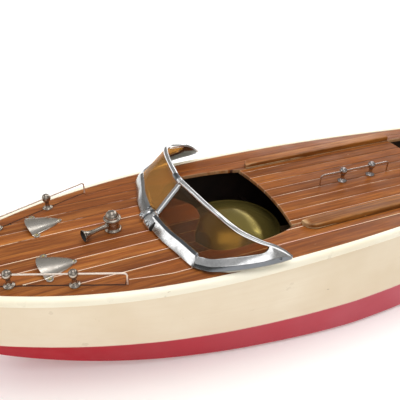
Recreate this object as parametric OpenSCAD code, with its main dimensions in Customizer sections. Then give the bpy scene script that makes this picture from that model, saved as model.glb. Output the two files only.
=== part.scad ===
// Planked model speedboat with wrap-round windscreen, lift-off engine hatch,
// glow engine, inclined propeller shaft and rudder.
// Millimetres. X runs to the bow, Y to port, Z up from the flat of the bottom.

/* [Hull] */
// Half of the greatest deck width, without the gunwale moulding
half_w = 82; // [81:0.5:83]
// Height of the deck edge amidships above the flat bottom
deck_h = 95; // [94.5:0.5:97]
// Rise of the deck from edge to middle
camber = 2.9; // [2.5:0.1:3.2]
// Thickness of the hull side
wall = 2.4; // [2.2:0.1:2.6]
// Thickness of the deck planking and of the hatch
deck_t = 3; // [2.8:0.1:3]
// Stations along the hull
stations = 28; // [22:1:34]

/* [Openings] */
// Middle of the cockpit's forward edge
cockpit_front = 132; // [130:0.5:133]
// Middle of the cockpit's aft edge, which is the hatch's forward edge
hatch_front = 67.4; // [66:0.2:69]
// Aft edge of the hatch
hatch_aft = -94.7; // [-96:0.1:-94]
// Half width of the hatch opening
hatch_half = 46; // [45:0.5:46]
// Aft edge of the after cockpit
aft_pit_end = -198; // [-200:1:-190]

/* [Fittings] */
// Radius of the rail wire
wire_r = 0.65; // [0.5:0.05:0.8]
// Radius of a stanchion ball
ball_r = 3.4; // [3:0.05:3.5]
// Height of the rail wire over the deck
rail_h = 9.6; // [9:0.2:11]
// Height of the strips beside the hatch
strip_h = 4.3; // [3.5:0.1:5]
// Radius of the horn's collar
horn_r = 6.7; // [6.3:0.1:6.9]

/* [Engine and drive] */
// Cylinder bore radius
bore_r = 7.5; // [7.4:0.05:7.6]
// Crank throw, half the stroke
throw_r = 7; // [6.8:0.1:7]
// Slope of the shaft line in degrees
shaft_tilt = 4.27; // [4.2:0.01:4.3]
// Crankshaft journal radius
journal_r = 4; // [3.95:0.01:4]
// Propeller shaft radius
shaft_r = 2; // [1.95:0.01:2]
// Propeller radius
prop_r = 13.6; // [12:0.1:13.8]
// Flywheel radius
fly_r = 16; // [14:0.5:17]

/* [Hidden] */
$fn = 48;
x_mid = 70;
x_stern = -357.5;
x_bow = 360;
crank = [15, 0, 39.6];
prop_x = -331;
rudder_x = -338;

// ---------- lines of the hull ----------
function uu(x) = (x - x_mid)/100;
function smooth(t) = let(c = min(1, max(0, t))) c*c*(3 - 2*c);
function mix(a, b, t) = a + (b - a)*t;
function half_beam(x) = let(a = uu(x)) a >= 0
    ? 1.2 + (half_w - 1.2)*(1 - pow(min(a/2.9, 1), 2.74))
    : half_w - 19*(1 - cos(180*(-a)/4.6));
function deck_z(x, y) = deck_h + 1.92*uu(x) - 0.258*uu(x)*uu(x) + camber*(1 - y*y/6400);
function edge_z(x) = deck_z(x, half_beam(x));
function chine_y(x) = let(a = uu(x)) a >= -0.5
    ? 1.2 + 77.3*(1 - pow(min((a + 0.5)/3.36, 1), 1.55))
    : 78.5 - 18.5*(1 - cos(180*(-a - 0.5)/4.1));
function chine_z(x) = let(a = uu(x)) 3 + 50*pow(max(0, a - 0.4)/2.5, 2.6) + 41*smooth((-1.4 - a)/2.9);
function keel_z(x) = let(a = uu(x)) 47*pow(max(0, a - 1.4)/1.44, 2.6) + 41*smooth((-1.8 - a)/2.5);
function flat_part(x) = 0.4*(1 - smooth((uu(x) - 0.9)/1.2))*smooth((uu(x) + 4.3)/1.1);

// ---------- shells from grids of points ----------
function flat2(g) = [for (r = g) for (p = r) p];
function tri2(a, b, c, d) = c == d ? [[a, b, c]] : [[a, b, c], [a, c, d]];
function flipped(fs, on) = on ? [for (f = fs) [for (i = [len(f)-1:-1:0]) f[i]]] : fs;
// slab between an upper grid and a lower grid, i to the bow and j to port
module slab(a, b, mirror_it = false) {
    ni = len(a); nj = len(a[0]); o = ni*nj;
    fs = [for (i = [0:ni-2]) for (j = [0:nj-2]) each tri2(i*nj+j, i*nj+j+1, (i+1)*nj+j+1, (i+1)*nj+j)];
    fb = [for (i = [0:ni-2]) for (j = [0:nj-2]) each tri2(o+i*nj+j, o+(i+1)*nj+j, o+(i+1)*nj+j+1, o+i*nj+j+1)];
    e = nj-1; q = ni-1;
    f1 = [for (i = [0:ni-2]) each tri2(i*nj, (i+1)*nj, o+(i+1)*nj, o+i*nj)];
    f2 = [for (i = [0:ni-2]) each tri2(i*nj+e, o+i*nj+e, o+(i+1)*nj+e, (i+1)*nj+e)];
    f3 = [for (j = [0:nj-2]) each tri2(j, o+j, o+j+1, j+1)];
    f4 = [for (j = [0:nj-2]) each tri2(q*nj+j, q*nj+j+1, o+q*nj+j+1, o+q*nj+j)];
    polyhedron(points = concat(flat2(a), flat2(b)),
               faces = flipped(concat(fs, fb, f1, f2, f3, f4), mirror_it), convexity = 6);
}
// rings of equal length, each counter-clockwise seen from the bow
module rings(rs, flip = false) {
    n = len(rs); m = len(rs[0]);
    sides = [for (i = [0:n-2]) for (j = [0:m-1]) each tri2(i*m+j, (i+1)*m+j, (i+1)*m+(j+1)%m, i*m+(j+1)%m)];
    polyhedron(points = flat2(rs),
               faces = flipped(concat(sides, [[for (j = [0:m-1]) j]], [[for (j = [m-1:-1:0]) (n-1)*m+j]]), flip), convexity = 6);
}
// part of the deck surface, raised by dz, as a slab
module deck_slab(xs, y0, y1, ny, dz, t) {
    a = [for (x = xs) [for (j = [0:ny]) let(y = mix(y0, y1, j/ny)) [x, y, deck_z(x, y) + dz]]];
    b = [for (x = xs) [for (j = [0:ny]) let(y = mix(y0, y1, j/ny)) [x, y, deck_z(x, y) + dz - t]]];
    slab(a, b);
}

// ---------- hull ----------
side_v = [0, 0.34, 0.68, 1];
function along(t) = 1 - pow(1 - t, 1.3);
// one side of a frame, from the deck edge to the chine
function side_row(t, inset, rim, lift) =
    let(xg = mix(x_stern, x_bow, t), xc = mix(x_stern, x_bow - 4, t),
        g = [xg, half_beam(xg) - rim, edge_z(xg) - deck_t - 0.1],
        c = [xc, chine_y(xc) - inset, chine_z(xc) + lift])
    [for (v = side_v) let(p = mix(g, c, v) + [0, 4.4*v*(1 - v), 0]) [p[0], max(0.3, p[1]), p[2]]];
// half of the bottom, from the chine to the keel
function floor_half(t, inset, lift, ws) =
    let(xc = mix(x_stern, x_bow - 4, t), xk = mix(x_stern, x_bow - 6, t), cy = chine_y(xc) - inset, cz = chine_z(xc) + lift,
        kz = keel_z(xk) + lift, fl = flat_part(xc))
    [for (w = ws) [mix(xc, xk, w), cy*(1 - w), kz + (cz - kz)*pow(max(0, (1 - w - fl)/(1 - fl)), 1.5)]];
function half_section(t, inset, rim, lift) = concat(side_row(t, inset, rim, lift), floor_half(t, inset, lift, [0.3, 0.6, 0.8, 1]));
function to_middle(r) = [for (p = r) [p[0], 0.05, p[2]]];
function to_height(r, z) = [for (p = r) [p[0], p[1], z]];
function other_side(r) = [for (j = [len(r)-1:-1:0]) [r[j][0], -r[j][1], r[j][2]]];
bow_in = 0.99;
// half of the gap between two panels of the hull, as a part of its length
panel_gap = 0.00006;
side_breaks = [0, 0.14, 0.28, 0.42, 0.56, 0.7, 0.82, 0.92, 1];
floor_breaks = [0, 0.07, 0.15, 0.25, 0.4, 0.65, 0.75, 0.84, 0.91, 0.96, 1];
function panel_ts(bs, k, m) = let(a = bs[k] + (k > 0 ? panel_gap : 0), b = bs[k+1] - (k < len(bs) - 2 ? panel_gap : 0)) [for (i = [0:m]) mix(a, b, i/m)];
module hull_side() {
    for (k = [0:len(side_breaks)-2]) let(ts = panel_ts(side_breaks, k, ceil(stations/8)), bow = k == len(side_breaks) - 2,
            outer = [for (t = ts) side_row(t, 0, 0, 0)], inner = [for (t = ts) side_row(bow_in*t, wall, 6, wall + 0.4)], n = len(ts) - 1)
        slab(bow ? concat(outer, [to_middle(outer[n])]) : outer, bow ? concat(inner, [to_middle(inner[n])]) : inner);
}
module hull_side_port() color("Ivory") hull_side();
module hull_side_starboard() color("Ivory") mirror([0, 1, 0]) hull_side();
// strips of the bottom: 0 and 2 beside the chines, 1 along the keel
function floor_strip(t, inset, lift, q) =
    q == 0 ? floor_half(t, inset, lift, [0.0007, 0.3, 0.598]) :
    q == 2 ? other_side(floor_half(t, inset, lift, [0.0007, 0.3, 0.598])) :
    let(h = floor_half(t, inset, lift, [0.602, 0.8, 1])) concat(h, other_side([h[0], h[1]]));
module hull_bottom() color("Firebrick") difference() {
    for (q = [0:2]) for (k = [0:len(floor_breaks)-2]) let(ts = panel_ts(floor_breaks, k, ceil(stations/10)), bow = k == len(floor_breaks) - 2,
            outer = [for (t = ts) floor_strip(t, 0, 0, q)], inner = [for (t = ts) floor_strip(bow_in*t, wall, wall + 0.4, q)], n = len(ts) - 1,
            zo = floor_half(1, 0, 0, [0.0007])[0][2] - 0.05, zi = floor_half(bow_in, wall, wall + 0.4, [0.0007])[0][2] - 0.05)
        slab(bow ? concat(outer, [to_height(outer[n], zo)]) : outer, bow ? concat(inner, [to_height(inner[n], zi)]) : inner);
    on_shaft() translate([-330, 0, 0]) rotate([0, 90, 0]) cylinder(r = 3.56, h = 180);
    translate([rudder_x, 0, 20]) cylinder(r = 3.04, h = 40);
}
module transom_board() color("SaddleBrown") {
    h = half_section(0, 0, 0, 0);
    b = half_beam(x_stern); ez = edge_z(x_stern);
    port = concat([for (p = h) [p[1], p[2]]]);
    top = [for (k = [0:8]) let(y = mix(-b - 2.2, b + 2.2, k/8)) [y, min(deck_z(x_stern, y), ez + 3) + 0.4]];
    translate([-360, 0, 0]) rotate([90, 0, 90]) linear_extrude(2.45)
        polygon(concat([[b + 2.2, ez - 3]], port, [for (j = [len(port)-2:-1:0]) [-port[j][0], port[j][1]]], [[-b - 2.2, ez - 3]], top));
}
gun = [[0.35, -6], [1.5, -5.8], [2.4, -4.7], [2.8, -3], [2.5, -1.2], [1.5, 0.2], [0, 0.7], [-2.4, 0.6], [-2.4, -3], [0.35, -3]];
function gun_ring(x) = [for (p = gun) [x, max(0.1, half_beam(x) + p[0]), edge_z(x) + p[1]]];
module gunwale() {
    n = stations + 4;
    rings([for (i = [0:n]) gun_ring(mix(x_stern + 0.3, x_bow - 0.6, along(i/n)))]);
}
module gunwale_port() color("OldLace") gunwale();
module gunwale_starboard() color("OldLace") mirror([0, 1, 0]) gunwale();

// ---------- deck and openings ----------
// reach of the opening's two forward corners past the middle of its edge
lobe = 17;
lobe_y = 40;
function front_x(y) = cockpit_front + lobe*smooth((abs(y) - 2)/36);
// half width of the opening from the after cockpit to the forward corners
function open_half(x) = lookup(x, [[aft_pit_end, 28], [aft_pit_end + 0.4, 31.4], [aft_pit_end + 2, 35.5], [aft_pit_end + 6, 40], [aft_pit_end + 13.4, 42.9], [-140, 45], [-93.7, hatch_half],
    [66, hatch_half], [72, 47.5], [86, 51.5], [99, 53.5], [115, 54.8], [125, 55.2], [cockpit_front + 2, 53.8], [cockpit_front + 8, 51], [cockpit_front + 13, 47], [cockpit_front + 16, 43], [cockpit_front + lobe, lobe_y]]);
function deck_half(x) = half_beam(x) - wall - 0.35;
module deck_panel(rows) slab([for (r = rows) [for (p = r) [p[0], p[1], deck_z(p[0], p[1])]]], [for (r = rows) [for (p = r) [p[0], p[1], deck_z(p[0], p[1]) - deck_t]]]);
fore_x = cockpit_front + lobe + 1;
side_x = [aft_pit_end, aft_pit_end + 6, -95, 66, 106, 128, cockpit_front + 8, cockpit_front + 13, fore_x];
module deck() color("Sienna") {
    // foredeck, its tongue between the cockpit's forward corners, and the after deck
    deck_panel([for (i = [0:16]) let(x = mix(fore_x + 0.05, 346, along(i/16))) [for (j = [-4:4]) [x, deck_half(x)*j/4]]]);
    deck_panel([for (i = [0:3]) [for (j = [-8:8]) let(y = (lobe_y - 0.1)*j/8) [mix(front_x(y), fore_x - 0.05, i/3), y]]]);
    deck_panel([for (x = spread(-357.3, aft_pit_end - 0.05, 8)) [for (j = [-4:4]) [x, deck_half(x)*j/4]]]);
    // side decks
    for (k = [0:len(side_x)-2]) let(rows = [for (x = spread(side_x[k] + 0.05, side_x[k+1] - 0.05, k == 2 ? 6 : 4)) [for (j = [0:2]) [x, mix(open_half(x), deck_half(x), j/2)]]]) {
        deck_panel(rows);
        mirror([0, 1, 0]) deck_panel(rows);
    }
}
function spread(a, b, n) = [for (i = [0:n]) mix(a, b, i/n)];
module hatch_ledges() color("Peru") for (s = [-1, 1])
    deck_slab(spread(-93, 64, 6), s > 0 ? 41 : -52, s > 0 ? 52 : -41, 2, -deck_t - 0.12, 3);
module strip() {
    difference() {
        deck_slab(spread(-95, 64, 6), 46.6, 56.8, 3, strip_h, strip_h - 0.05);
        translate([64, 57, 90]) rotate([0, 0, 30]) translate([-3, -20, 0]) cube([20, 40, 20]);
    }
}
module strip_port() color("Sienna") strip();
module strip_starboard() color("Sienna") mirror([0, 1, 0]) strip();

// plate across the hull between its bottom and a top line
module bulkhead(x, t, top = 0) {
    b = half_beam(x); z0 = keel_z(x) + wall + 1.2; c = chine_y(x) - wall - 0.9;
    half = [[0, z0], [c*flat_part(x), z0], [c, chine_z(x) + wall + 1.6], [b - 7, edge_z(x) - deck_t - 0.9]];
    lid = [for (k = [1:7]) let(y = mix(b - 7, 7 - b, k/8)) [y, deck_z(x, y) - deck_t - 0.6]];
    translate([x, 0, 0]) rotate([90, 0, 90]) linear_extrude(t) intersection() {
        polygon(concat(half, lid, [for (j = [3:-1:1]) [-half[j][0], half[j][1]]]));
        if (top > 0) translate([-100, -10]) square([200, top + 10]);
    }
}
module bulkheads() color("BurlyWood") {
    bulkhead(150, 4);
    bulkhead(52.5, 4, 50);
    difference() {
        bulkhead(-98.6, 3.6);
        on_shaft() along_x(-160, -60, 5);
    }
    difference() {
        bulkhead(-209, 4);
        on_shaft() along_x(-260, -160, 3.6);
    }
}
function inside_y(x, v) = mix(half_beam(x) - 6, chine_y(x) - wall, v) - 0.9;
module board(x0, x1, z, t, v) {
    xs = spread(x0, x1, 6);
    translate([0, 0, z]) linear_extrude(t)
        polygon(concat([for (x = xs) [x, -inside_y(x, v)]], [for (i = [6:-1:0]) [xs[i], inside_y(xs[i], v)]]));
}
module cockpit_floor() color("BurlyWood") board(57, 149.5, 22, 3, 0.82);
module aft_cockpit_floor() color("BurlyWood") board(-204.6, -99, 46, 3, 0.5);
module skeg() color("Firebrick") {
    xs = spread(-302, -250, 5);
    translate([0, 1.5, 0]) rotate([90, 0, 0]) linear_extrude(3)
        polygon(concat([for (x = xs) [x, keel_z(x) - 0.35]],
                       [[-252, shaft_z(-252) + 3.65], [-302, shaft_z(-302) + 3.65]]));
}

// ---------- fuel ----------
tank = [101, 0];
line_z = 53.77;
module tank_body() color("Goldenrod") difference() {
    union() {
        translate([tank[0], 0, 25.1]) cylinder(r = 37.5, h = 47.4);
        translate([62, 20, line_z]) rotate([0, 90, 0]) cylinder(r = 1.2, h = 12);
    }
    translate([tank[0], 0, 26.1]) cylinder(r = 36.7, h = 50);
    translate([61, 20, line_z]) rotate([0, 90, 0]) cylinder(r = 0.7, h = 16);
}
dome_h = 11;
dome_w = 38.4;
dome_r = (dome_h*dome_h + dome_w*dome_w)/(2*dome_h);
module tank_dome() color("Gold") translate([tank[0], 0, 72.6]) rotate_extrude($fn = 96) polygon(concat(
    [[36.6, 0], [41, 0], [41.4, 0.4], [41.4, 0.8], [41, 1.2], [dome_w + 0.6, 1.2]],
    [for (k = [0:14]) let(a = mix(asin(dome_w/dome_r), 0, k/14)) [dome_r*sin(a), 1.4 + dome_r*cos(a) - dome_r + dome_h]],
    [for (k = [14:-1:0]) let(a = mix(asin((dome_w - 1.2)/dome_r), 0, k/14)) [(dome_r - 0.8)*sin(a), 1.4 + (dome_r - 0.8)*cos(a) - dome_r + dome_h]]));
module fuel_line() color("Tan") {
    translate([-1.12, 20, line_z]) rotate([0, 90, 0]) difference() { cylinder(r = 2, h = 68.6); translate([0, 0, -1]) cylinder(r = 1.25, h = 71); }
    translate([-1.12, 11, line_z]) rotate([0, 0, 90]) rotate_extrude(angle = 90) translate([9, 0]) difference() { circle(r = 2); circle(r = 1.25); }
    translate([-10.12, 11, line_z]) rotate([90, 0, 0]) difference() { cylinder(r = 2, h = 2.6); translate([0, 0, -1]) cylinder(r = 1.25, h = 5); }
}

// ---------- engine, on the shaft line ----------
module on_shaft() translate(crank) rotate([0, -shaft_tilt, 0]) children();
function shaft_z(x) = crank[2] + (x - crank[0])*tan(shaft_tilt);
module along_x(x0, x1, r) translate([x0, 0, 0]) rotate([0, 90, 0]) cylinder(r = r, h = x1 - x0);
lug_xy = [[-6, 19.8], [6, 19.8], [-6, -19.8], [6, -19.8]];
screw_ring = [45, 135, 225, 315];
module engine_bearers() color("Wheat") difference() {
    for (s = [-1, 1]) translate([-2, s > 0 ? 15.9 : -24.1, 3.1]) cube([54, 8.2, 60]);
    on_shaft() translate([-80, -60, -1.6]) cube([200, 120, 120]);
    on_shaft() for (p = lug_xy) translate([p[0], p[1], -14.1]) cylinder(r = 1.33, h = 40);
}
module mount_screws() color("Silver") on_shaft() for (p = lug_xy) translate([p[0], p[1], 0]) {
    translate([0, 0, -14]) cylinder(r = 1.3, h = 15.7);
    difference() { translate([0, 0, 1.6]) cylinder(r = 2.4, h = 1.6); translate([-3, -0.35, 2.4]) cube([6, 0.7, 2]); }
}
module crankcase() color("LightGray") on_shaft() difference() {
    union() {
        along_x(-14, 12, 15.4);
        along_x(-36, -13, 8.5);
        translate([0, 0, 6]) cylinder(r = 14, h = 12);
        for (s = [-1, 1]) translate([-9.5, s > 0 ? 12 : -24, -1.5]) cube([19, 12, 3]);
    }
    along_x(-10.6, 12.1, 12.6);
    along_x(-36.1, -10, 6.02);
    cylinder(r = 9.56, h = 30);
    translate([12, -20, -20]) cube([10, 40, 38.02]);
    for (p = lug_xy) translate([p[0], p[1], -4]) cylinder(r = 1.36, h = 8);
    for (a = screw_ring) rotate([a, 0, 0]) translate([4, 0, 13.9]) rotate([0, 90, 0]) cylinder(r = 1.02, h = 9);
    for (a = screw_ring) rotate([0, 0, a]) translate([11.9, 0, 10]) cylinder(r = 1.02, h = 9);
}
module backplate() color("Silver") on_shaft() difference() {
    union() { along_x(12.05, 15, 15.4); along_x(9.5, 12.1, 12.5); }
    for (a = screw_ring) rotate([a, 0, 0]) translate([4, 0, 13.9]) rotate([0, 90, 0]) cylinder(r = 1.06, h = 14);
}
module shaft_bush() color("Peru") on_shaft() difference() { along_x(-36, -10.8, 6); along_x(-37, -10, journal_r + 0.04); }
fin_n = 6;
module cylinder_jacket() color("DarkGray") on_shaft() difference() {
    rotate_extrude($fn = 64) polygon(concat([[9.6, 18.05], [14.2, 18.05], [14.2, 19.2]],
        [for (k = [0:fin_n-1]) each let(z = 20.4 + k*2.6) [[11.2, z - 1.2], [11.2, z], [14.2, z], [14.2, z + 1.2], [11.2, z + 1.2]]],
        [[11.2, 36], [14.2, 36], [14.2, 37], [9.6, 37]]));
    for (a = screw_ring) rotate([0, 0, a]) translate([11.9, 0, 10]) cylinder(r = 1.06, h = 40);
    translate([0, -20, 28]) rotate([90, 0, 0]) translate([-4.2, -3.1, -16]) cube([8.4, 6.2, 16]);
}
module cylinder_liner() color("DimGray") on_shaft() difference() {
    translate([0, 0, 12]) cylinder(r = 9.5, h = 25);
    translate([0, 0, 11]) cylinder(r = bore_r, h = 30);
    translate([-3.8, -12, 25.4]) cube([7.6, 6, 5.2]);
}
module cylinder_head() color("Silver") on_shaft() difference() {
    rotate_extrude($fn = 64) polygon([[0, 37.05], [14.2, 37.05], [14.2, 38.6], [11, 38.6], [11, 39.8], [14.2, 39.8], [14.2, 41],
        [11, 41], [11, 42.2], [14.2, 42.2], [14.2, 43.4], [9.5, 44.2], [0, 44.2]]);
    translate([0, 0, 36]) cylinder(r = 2.53, h = 12);
    for (a = screw_ring) rotate([0, 0, a]) translate([11.9, 0, 30]) cylinder(r = 1.06, h = 30);
    for (a = screw_ring) rotate([0, 0, a]) translate([11.9, 0, 41.6]) cylinder(r = 2.1, h = 10);
}
module engine_screws() color("Gainsboro") on_shaft() {
    for (a = screw_ring) rotate([0, 0, a]) translate([11.9, 0, 0]) {
        translate([0, 0, 11]) cylinder(r = 1, h = 31);
        difference() { translate([0, 0, 41.65]) cylinder(r = 1.9, h = 1.9); translate([0, 0, 42.6]) cylinder(r = 1, h = 2, $fn = 6); }
    }
    for (a = screw_ring) rotate([a, 0, 0]) translate([0, 0, 13.9]) rotate([0, 90, 0]) {
        translate([0, 0, 5]) cylinder(r = 1, h = 10.5);
        difference() { translate([0, 0, 15.05]) cylinder(r = 1.9, h = 1.9); translate([0, 0, 16]) cylinder(r = 1, h = 2, $fn = 6); }
    }
}
module glow_plug() color("Gold") on_shaft() {
    translate([0, 0, 38]) cylinder(r = 2.5, h = 6.4);
    translate([0, 0, 44.3]) cylinder(r = 4, h = 2.6, $fn = 6);
    translate([0, 0, 46.8]) cylinder(r = 2.2, h = 1);
    translate([0, 0, 47.7]) cylinder(r = 1.4, h = 2);
}
rod_top = throw_r + 22;
module piston() color("Gray") on_shaft() difference() {
    translate([0, 0, rod_top - 4.5]) cylinder(r = bore_r - 0.03, h = 10.5);
    translate([0, 0, rod_top - 5]) cylinder(r = bore_r - 1.4, h = 8.6);
    translate([0, 0, rod_top]) along_x(-10, 10, 1.51);
}
module connecting_rod() color("Silver") on_shaft() difference() {
    union() {
        translate([0, 0, throw_r]) along_x(-1.7, 1.7, 3.8);
        translate([0, 0, rod_top]) along_x(-1.7, 1.7, 3);
        translate([-1.1, -1.9, throw_r]) cube([2.2, 3.8, 22]);
    }
    translate([0, 0, throw_r]) along_x(-5, 5, 2.03);
    translate([0, 0, rod_top]) along_x(-5, 5, 1.51);
}
module crank_pins() color("LightSteelBlue") on_shaft() {
    translate([0, 0, rod_top]) along_x(-6.4, 6.4, 1.48);
    translate([0, 0, throw_r]) along_x(-4.6, 2.4, 2);
}
module intake_venturi() color("LightGray") on_shaft() translate([-24, 0, 0]) difference() {
    rotate_extrude() polygon([[3.4, 5], [5, 5], [5, 18], [6, 19.2], [6, 20.4], [4.8, 20.4], [3.4, 18.6]]);
    translate([-20, 0, 0]) along_x(0, 40, 8.54);
    translate([0, 20, 16]) rotate([90, 0, 0]) cylinder(r = 1.23, h = 40);
}
module spray_bar() color("Goldenrod") on_shaft() translate([-24, 0, 16]) rotate([90, 0, 0]) translate([0, 0, -11.2]) difference() {
    cylinder(r = 1.2, h = 20.4);
    translate([0, 0, -1]) cylinder(r = 0.6, h = 30);
}
module exhaust_stack() color("DarkGray") on_shaft() difference() {
    translate([-4, -27, 25.1]) cube([8, 17.2, 5.8]);
    translate([-2.8, -28, 26.3]) cube([5.6, 30, 3.4]);
    cylinder(r = 9.62, h = 60);
}

// ---------- drive ----------
module crankshaft() color("SlateGray") on_shaft() difference() {
    union() {
        along_x(-10.2, -5, 11.4);
        along_x(-59, -10, journal_r);
    }
    for (s = [-1, 1]) translate([-12, s*14 - 6, 2]) cube([8, 12, 14]);
}
module flywheel() color("DarkGoldenrod") on_shaft() difference() {
    translate([-38.2, 0, 0]) rotate([0, -90, 0]) rotate_extrude($fn = 72)
        polygon([[journal_r + 0.02, 0], [6, 0], [7, 2], [11, 2], [12, 0], [fly_r - 0.6, 0], [fly_r, 0.6], [fly_r, 4.4], [fly_r - 1.5, 5.4], [fly_r - 1.5, 6.6],
                 [fly_r, 7.6], [fly_r, 10.4], [fly_r - 0.6, 11], [12, 11], [11, 9], [7, 9], [6, 12.6], [journal_r + 0.02, 12.6]]);
}
module shaft_coupling() color("Peru") on_shaft() difference() {
    union() { along_x(-59, -51.2, 7); along_x(-66, -58, 5); along_x(-74, -65, 7); }
    along_x(-59.2, -50, journal_r + 0.02);
    along_x(-80, -60.2, shaft_r + 0.02);
}
module propeller_shaft() color("LightSteelBlue") on_shaft() along_x(-344, -60.5, shaft_r);
module blade() translate([-0.5, 0, 0]) rotate([90, 0, 90]) linear_extrude(1)
    polygon([for (a = [0:15:345]) [(4.6 + 0.8*sin(a))*cos(a), (prop_r + 2.6)/2 + (prop_r - 2.6)/2*sin(a)]]);
module propeller() color("Goldenrod") on_shaft() {
    difference() {
        union() {
            translate([prop_x + 6, 0, 0]) rotate([0, -90, 0]) rotate_extrude() polygon([[0, 0], [2.9, 0], [3.5, 2], [3.5, 9], [2.9, 11], [0, 11]]);
            for (k = [0:2]) translate([prop_x, 0, 0]) rotate([120*k, 0, 0]) rotate([0, 0, 38]) blade();
        }
        along_x(-350, -300, shaft_r + 0.02);
    }
    difference() {
        translate([-340.2, 0, 0]) rotate([0, 90, 0]) cylinder(r = 3.6, h = 3.2, $fn = 6);
        along_x(-350, -300, shaft_r + 0.02);
    }
}

// ---------- stern gear ----------
module stern_tube() color("Goldenrod") on_shaft() difference() { along_x(-322, -150, 3.5); along_x(-323, -149, 2.6); }
module tube_block() color("BurlyWood") difference() {
    translate([-153, -8, 6.8]) cube([14, 16, 38.8]);
    on_shaft() along_x(-200, -100, 3.54);
}
module stern_bushes() color("Peru") on_shaft() for (x = [-321.9, -162.1]) difference() { along_x(x, x + 12, 2.57); along_x(x - 1, x + 13, shaft_r + 0.04); }
module rudder_tube() color("Goldenrod") translate([rudder_x, 0, 38.6]) difference() { cylinder(r = 3, h = 27.4); translate([0, 0, -1]) cylinder(r = 2.05, h = 30); }
module rudder() color("DarkGoldenrod") {
    translate([rudder_x, 0, 6]) cylinder(r = 2, h = 66);
    translate([rudder_x, 0.9, 0]) rotate([90, 0, 0]) linear_extrude(1.8)
        polygon([[8, 36.5], [9, 34], [7.5, 9], [5, 6], [-9, 4.6], [-13.5, 6.5], [-15.5, 12], [-15, 33], [-13, 36.5]]);
}
module tiller_arm() color("Goldenrod") difference() {
    union() {
        translate([rudder_x, 0, 66.6]) cylinder(r = 4.4, h = 3.6);
        translate([rudder_x, -2, 67.2]) cube([22, 4, 2.2]);
        translate([rudder_x + 22, 0, 67.2]) cylinder(r = 2, h = 2.2);
    }
    translate([rudder_x, 0, 60]) cylinder(r = 2.02, h = 20);
    for (x = [14, 18, 22]) translate([rudder_x + x, 0, 60]) cylinder(r = 0.8, h = 20);
}

// ---------- windscreen ----------
ws_low = [[176, 0, 99.8], [172.5, 27, 99.3], [167.5, 45, 98.8], [163, 61.5, 97.9], [158.5, 68, 97.9], [152, 74, 98.5], [140, 79.2, 99.8], [127.5, 82.8, 100.5], [113, 85.2, 100.9], [97, 86, 101.2]];
ws_top = [[146, 0, 133], [143.5, 22, 133], [140.5, 40, 132], [137, 52, 130.3], [132.5, 61.5, 127], [126.5, 69, 122.8], [116, 77, 117.4], [108, 80.5, 113.9], [101, 82.8, 109], [95.5, 84.6, 103.6]];
function knot(p, i) = p[min(len(p) - 1, max(0, i))];
function curve(p, t) = let(n = len(p) - 1, q = min(t*n, n - 0.0001), i = floor(q), f = q - i,
        a = knot(p, i - 1), b = knot(p, i), c = knot(p, i + 1), d = knot(p, i + 2))
    0.5*((2*b) + (c - a)*f + (2*a - 5*b + 4*c - d)*f*f + (3*b - a - 3*c + d)*f*f*f);
function ws(s, f) = mix(curve(ws_low, s), curve(ws_top, s), f);
function ws_len(s) = norm(curve(ws_top, s) - curve(ws_low, s));
function unit(v) = v/norm(v);
function ws_n(s) = let(a = curve(ws_low, min(1, s + 0.01)) - curve(ws_low, max(0, s - 0.01)), b = curve(ws_top, s) - curve(ws_low, s)) unit(cross(a, b));
s_tip = 0.775;
// height of the glass over the low curve
function bar_h(s) = mix(12, 16, smooth((s - 0.3)/0.2));
// heights of the frame's edges above the low curve, as parts of its full width
function edge_f(s, k) = let(l = ws_len(s)) k == 0 ? 1.3/l : k == 1 ? min(0.8, bar_h(s)/l) : k == 2 ? max(0.1, 1 - 3/l) : k == 3 ? 1 : (1.3 - 0.95*recess(s))/l;
// the glass stands back from the bar's face towards the middle
function recess(s) = -4.6*(1 - smooth(s/0.28));
function band(ss, k0, k1, t, gap = 0, c = 0) = [for (s = ss) let(g = gap/ws_len(s), d = t + c*recess(s))
    [ws(s, edge_f(s, k0) + g) + d*ws_n(s), ws(s, edge_f(s, k1) - g) + d*ws_n(s)]];
module frame_half() {
    lo = spread(0.028, s_tip, 16);
    hi = spread(0.018, s_tip, 16);
    tip = spread(s_tip - 0.004, 1, 5);
    slab(band(lo, 0, 1, 1.5), band(lo, 4, 1, -1.5, 0, 1));
    slab(band(hi, 2, 3, 1.5), band(hi, 2, 3, -1.5, 0, 1));
    slab(band(tip, 0, 3, 1.48), band(tip, 0, 3, -1.48));
}
module pane_half() {
    ss = spread(0.022, s_tip - 0.012, 18);
    slab(band(ss, 1, 2, 0.5, 0.1, 1), band(ss, 1, 2, -0.5, 0.1, 1));
}
module windscreen_frame_port() color("Silver") frame_half();
module windscreen_frame_starboard() color("Silver") mirror([0, 1, 0]) frame_half();
module windscreen_pane_port() color("Orange", 0.5) pane_half();
module windscreen_pane_starboard() color("Orange", 0.5) mirror([0, 1, 0]) pane_half();

bracket_h = 9.6;
rake = atan2(ws_low[0][0] - ws_top[0][0], ws_top[0][2] - ws_low[0][2]);
function bracket_row(q, t) = let(s = abs(q), n0 = ws_n(max(s, 0.004)), n = q == 0 ? unit([n0[0], 0, n0[2]]) : [n0[0], sign(q)*n0[1], n0[2]])
    [for (k = [0, 1]) let(p = ws(s, k == 1 ? bracket_h/ws_len(s) : t > 0 ? edge_f(s, 0) : (1.3 - 0.95*(t + 1.9))/ws_len(s))) [p[0], (q < 0 ? -1 : 1)*p[1], p[2]] + t*n];
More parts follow.
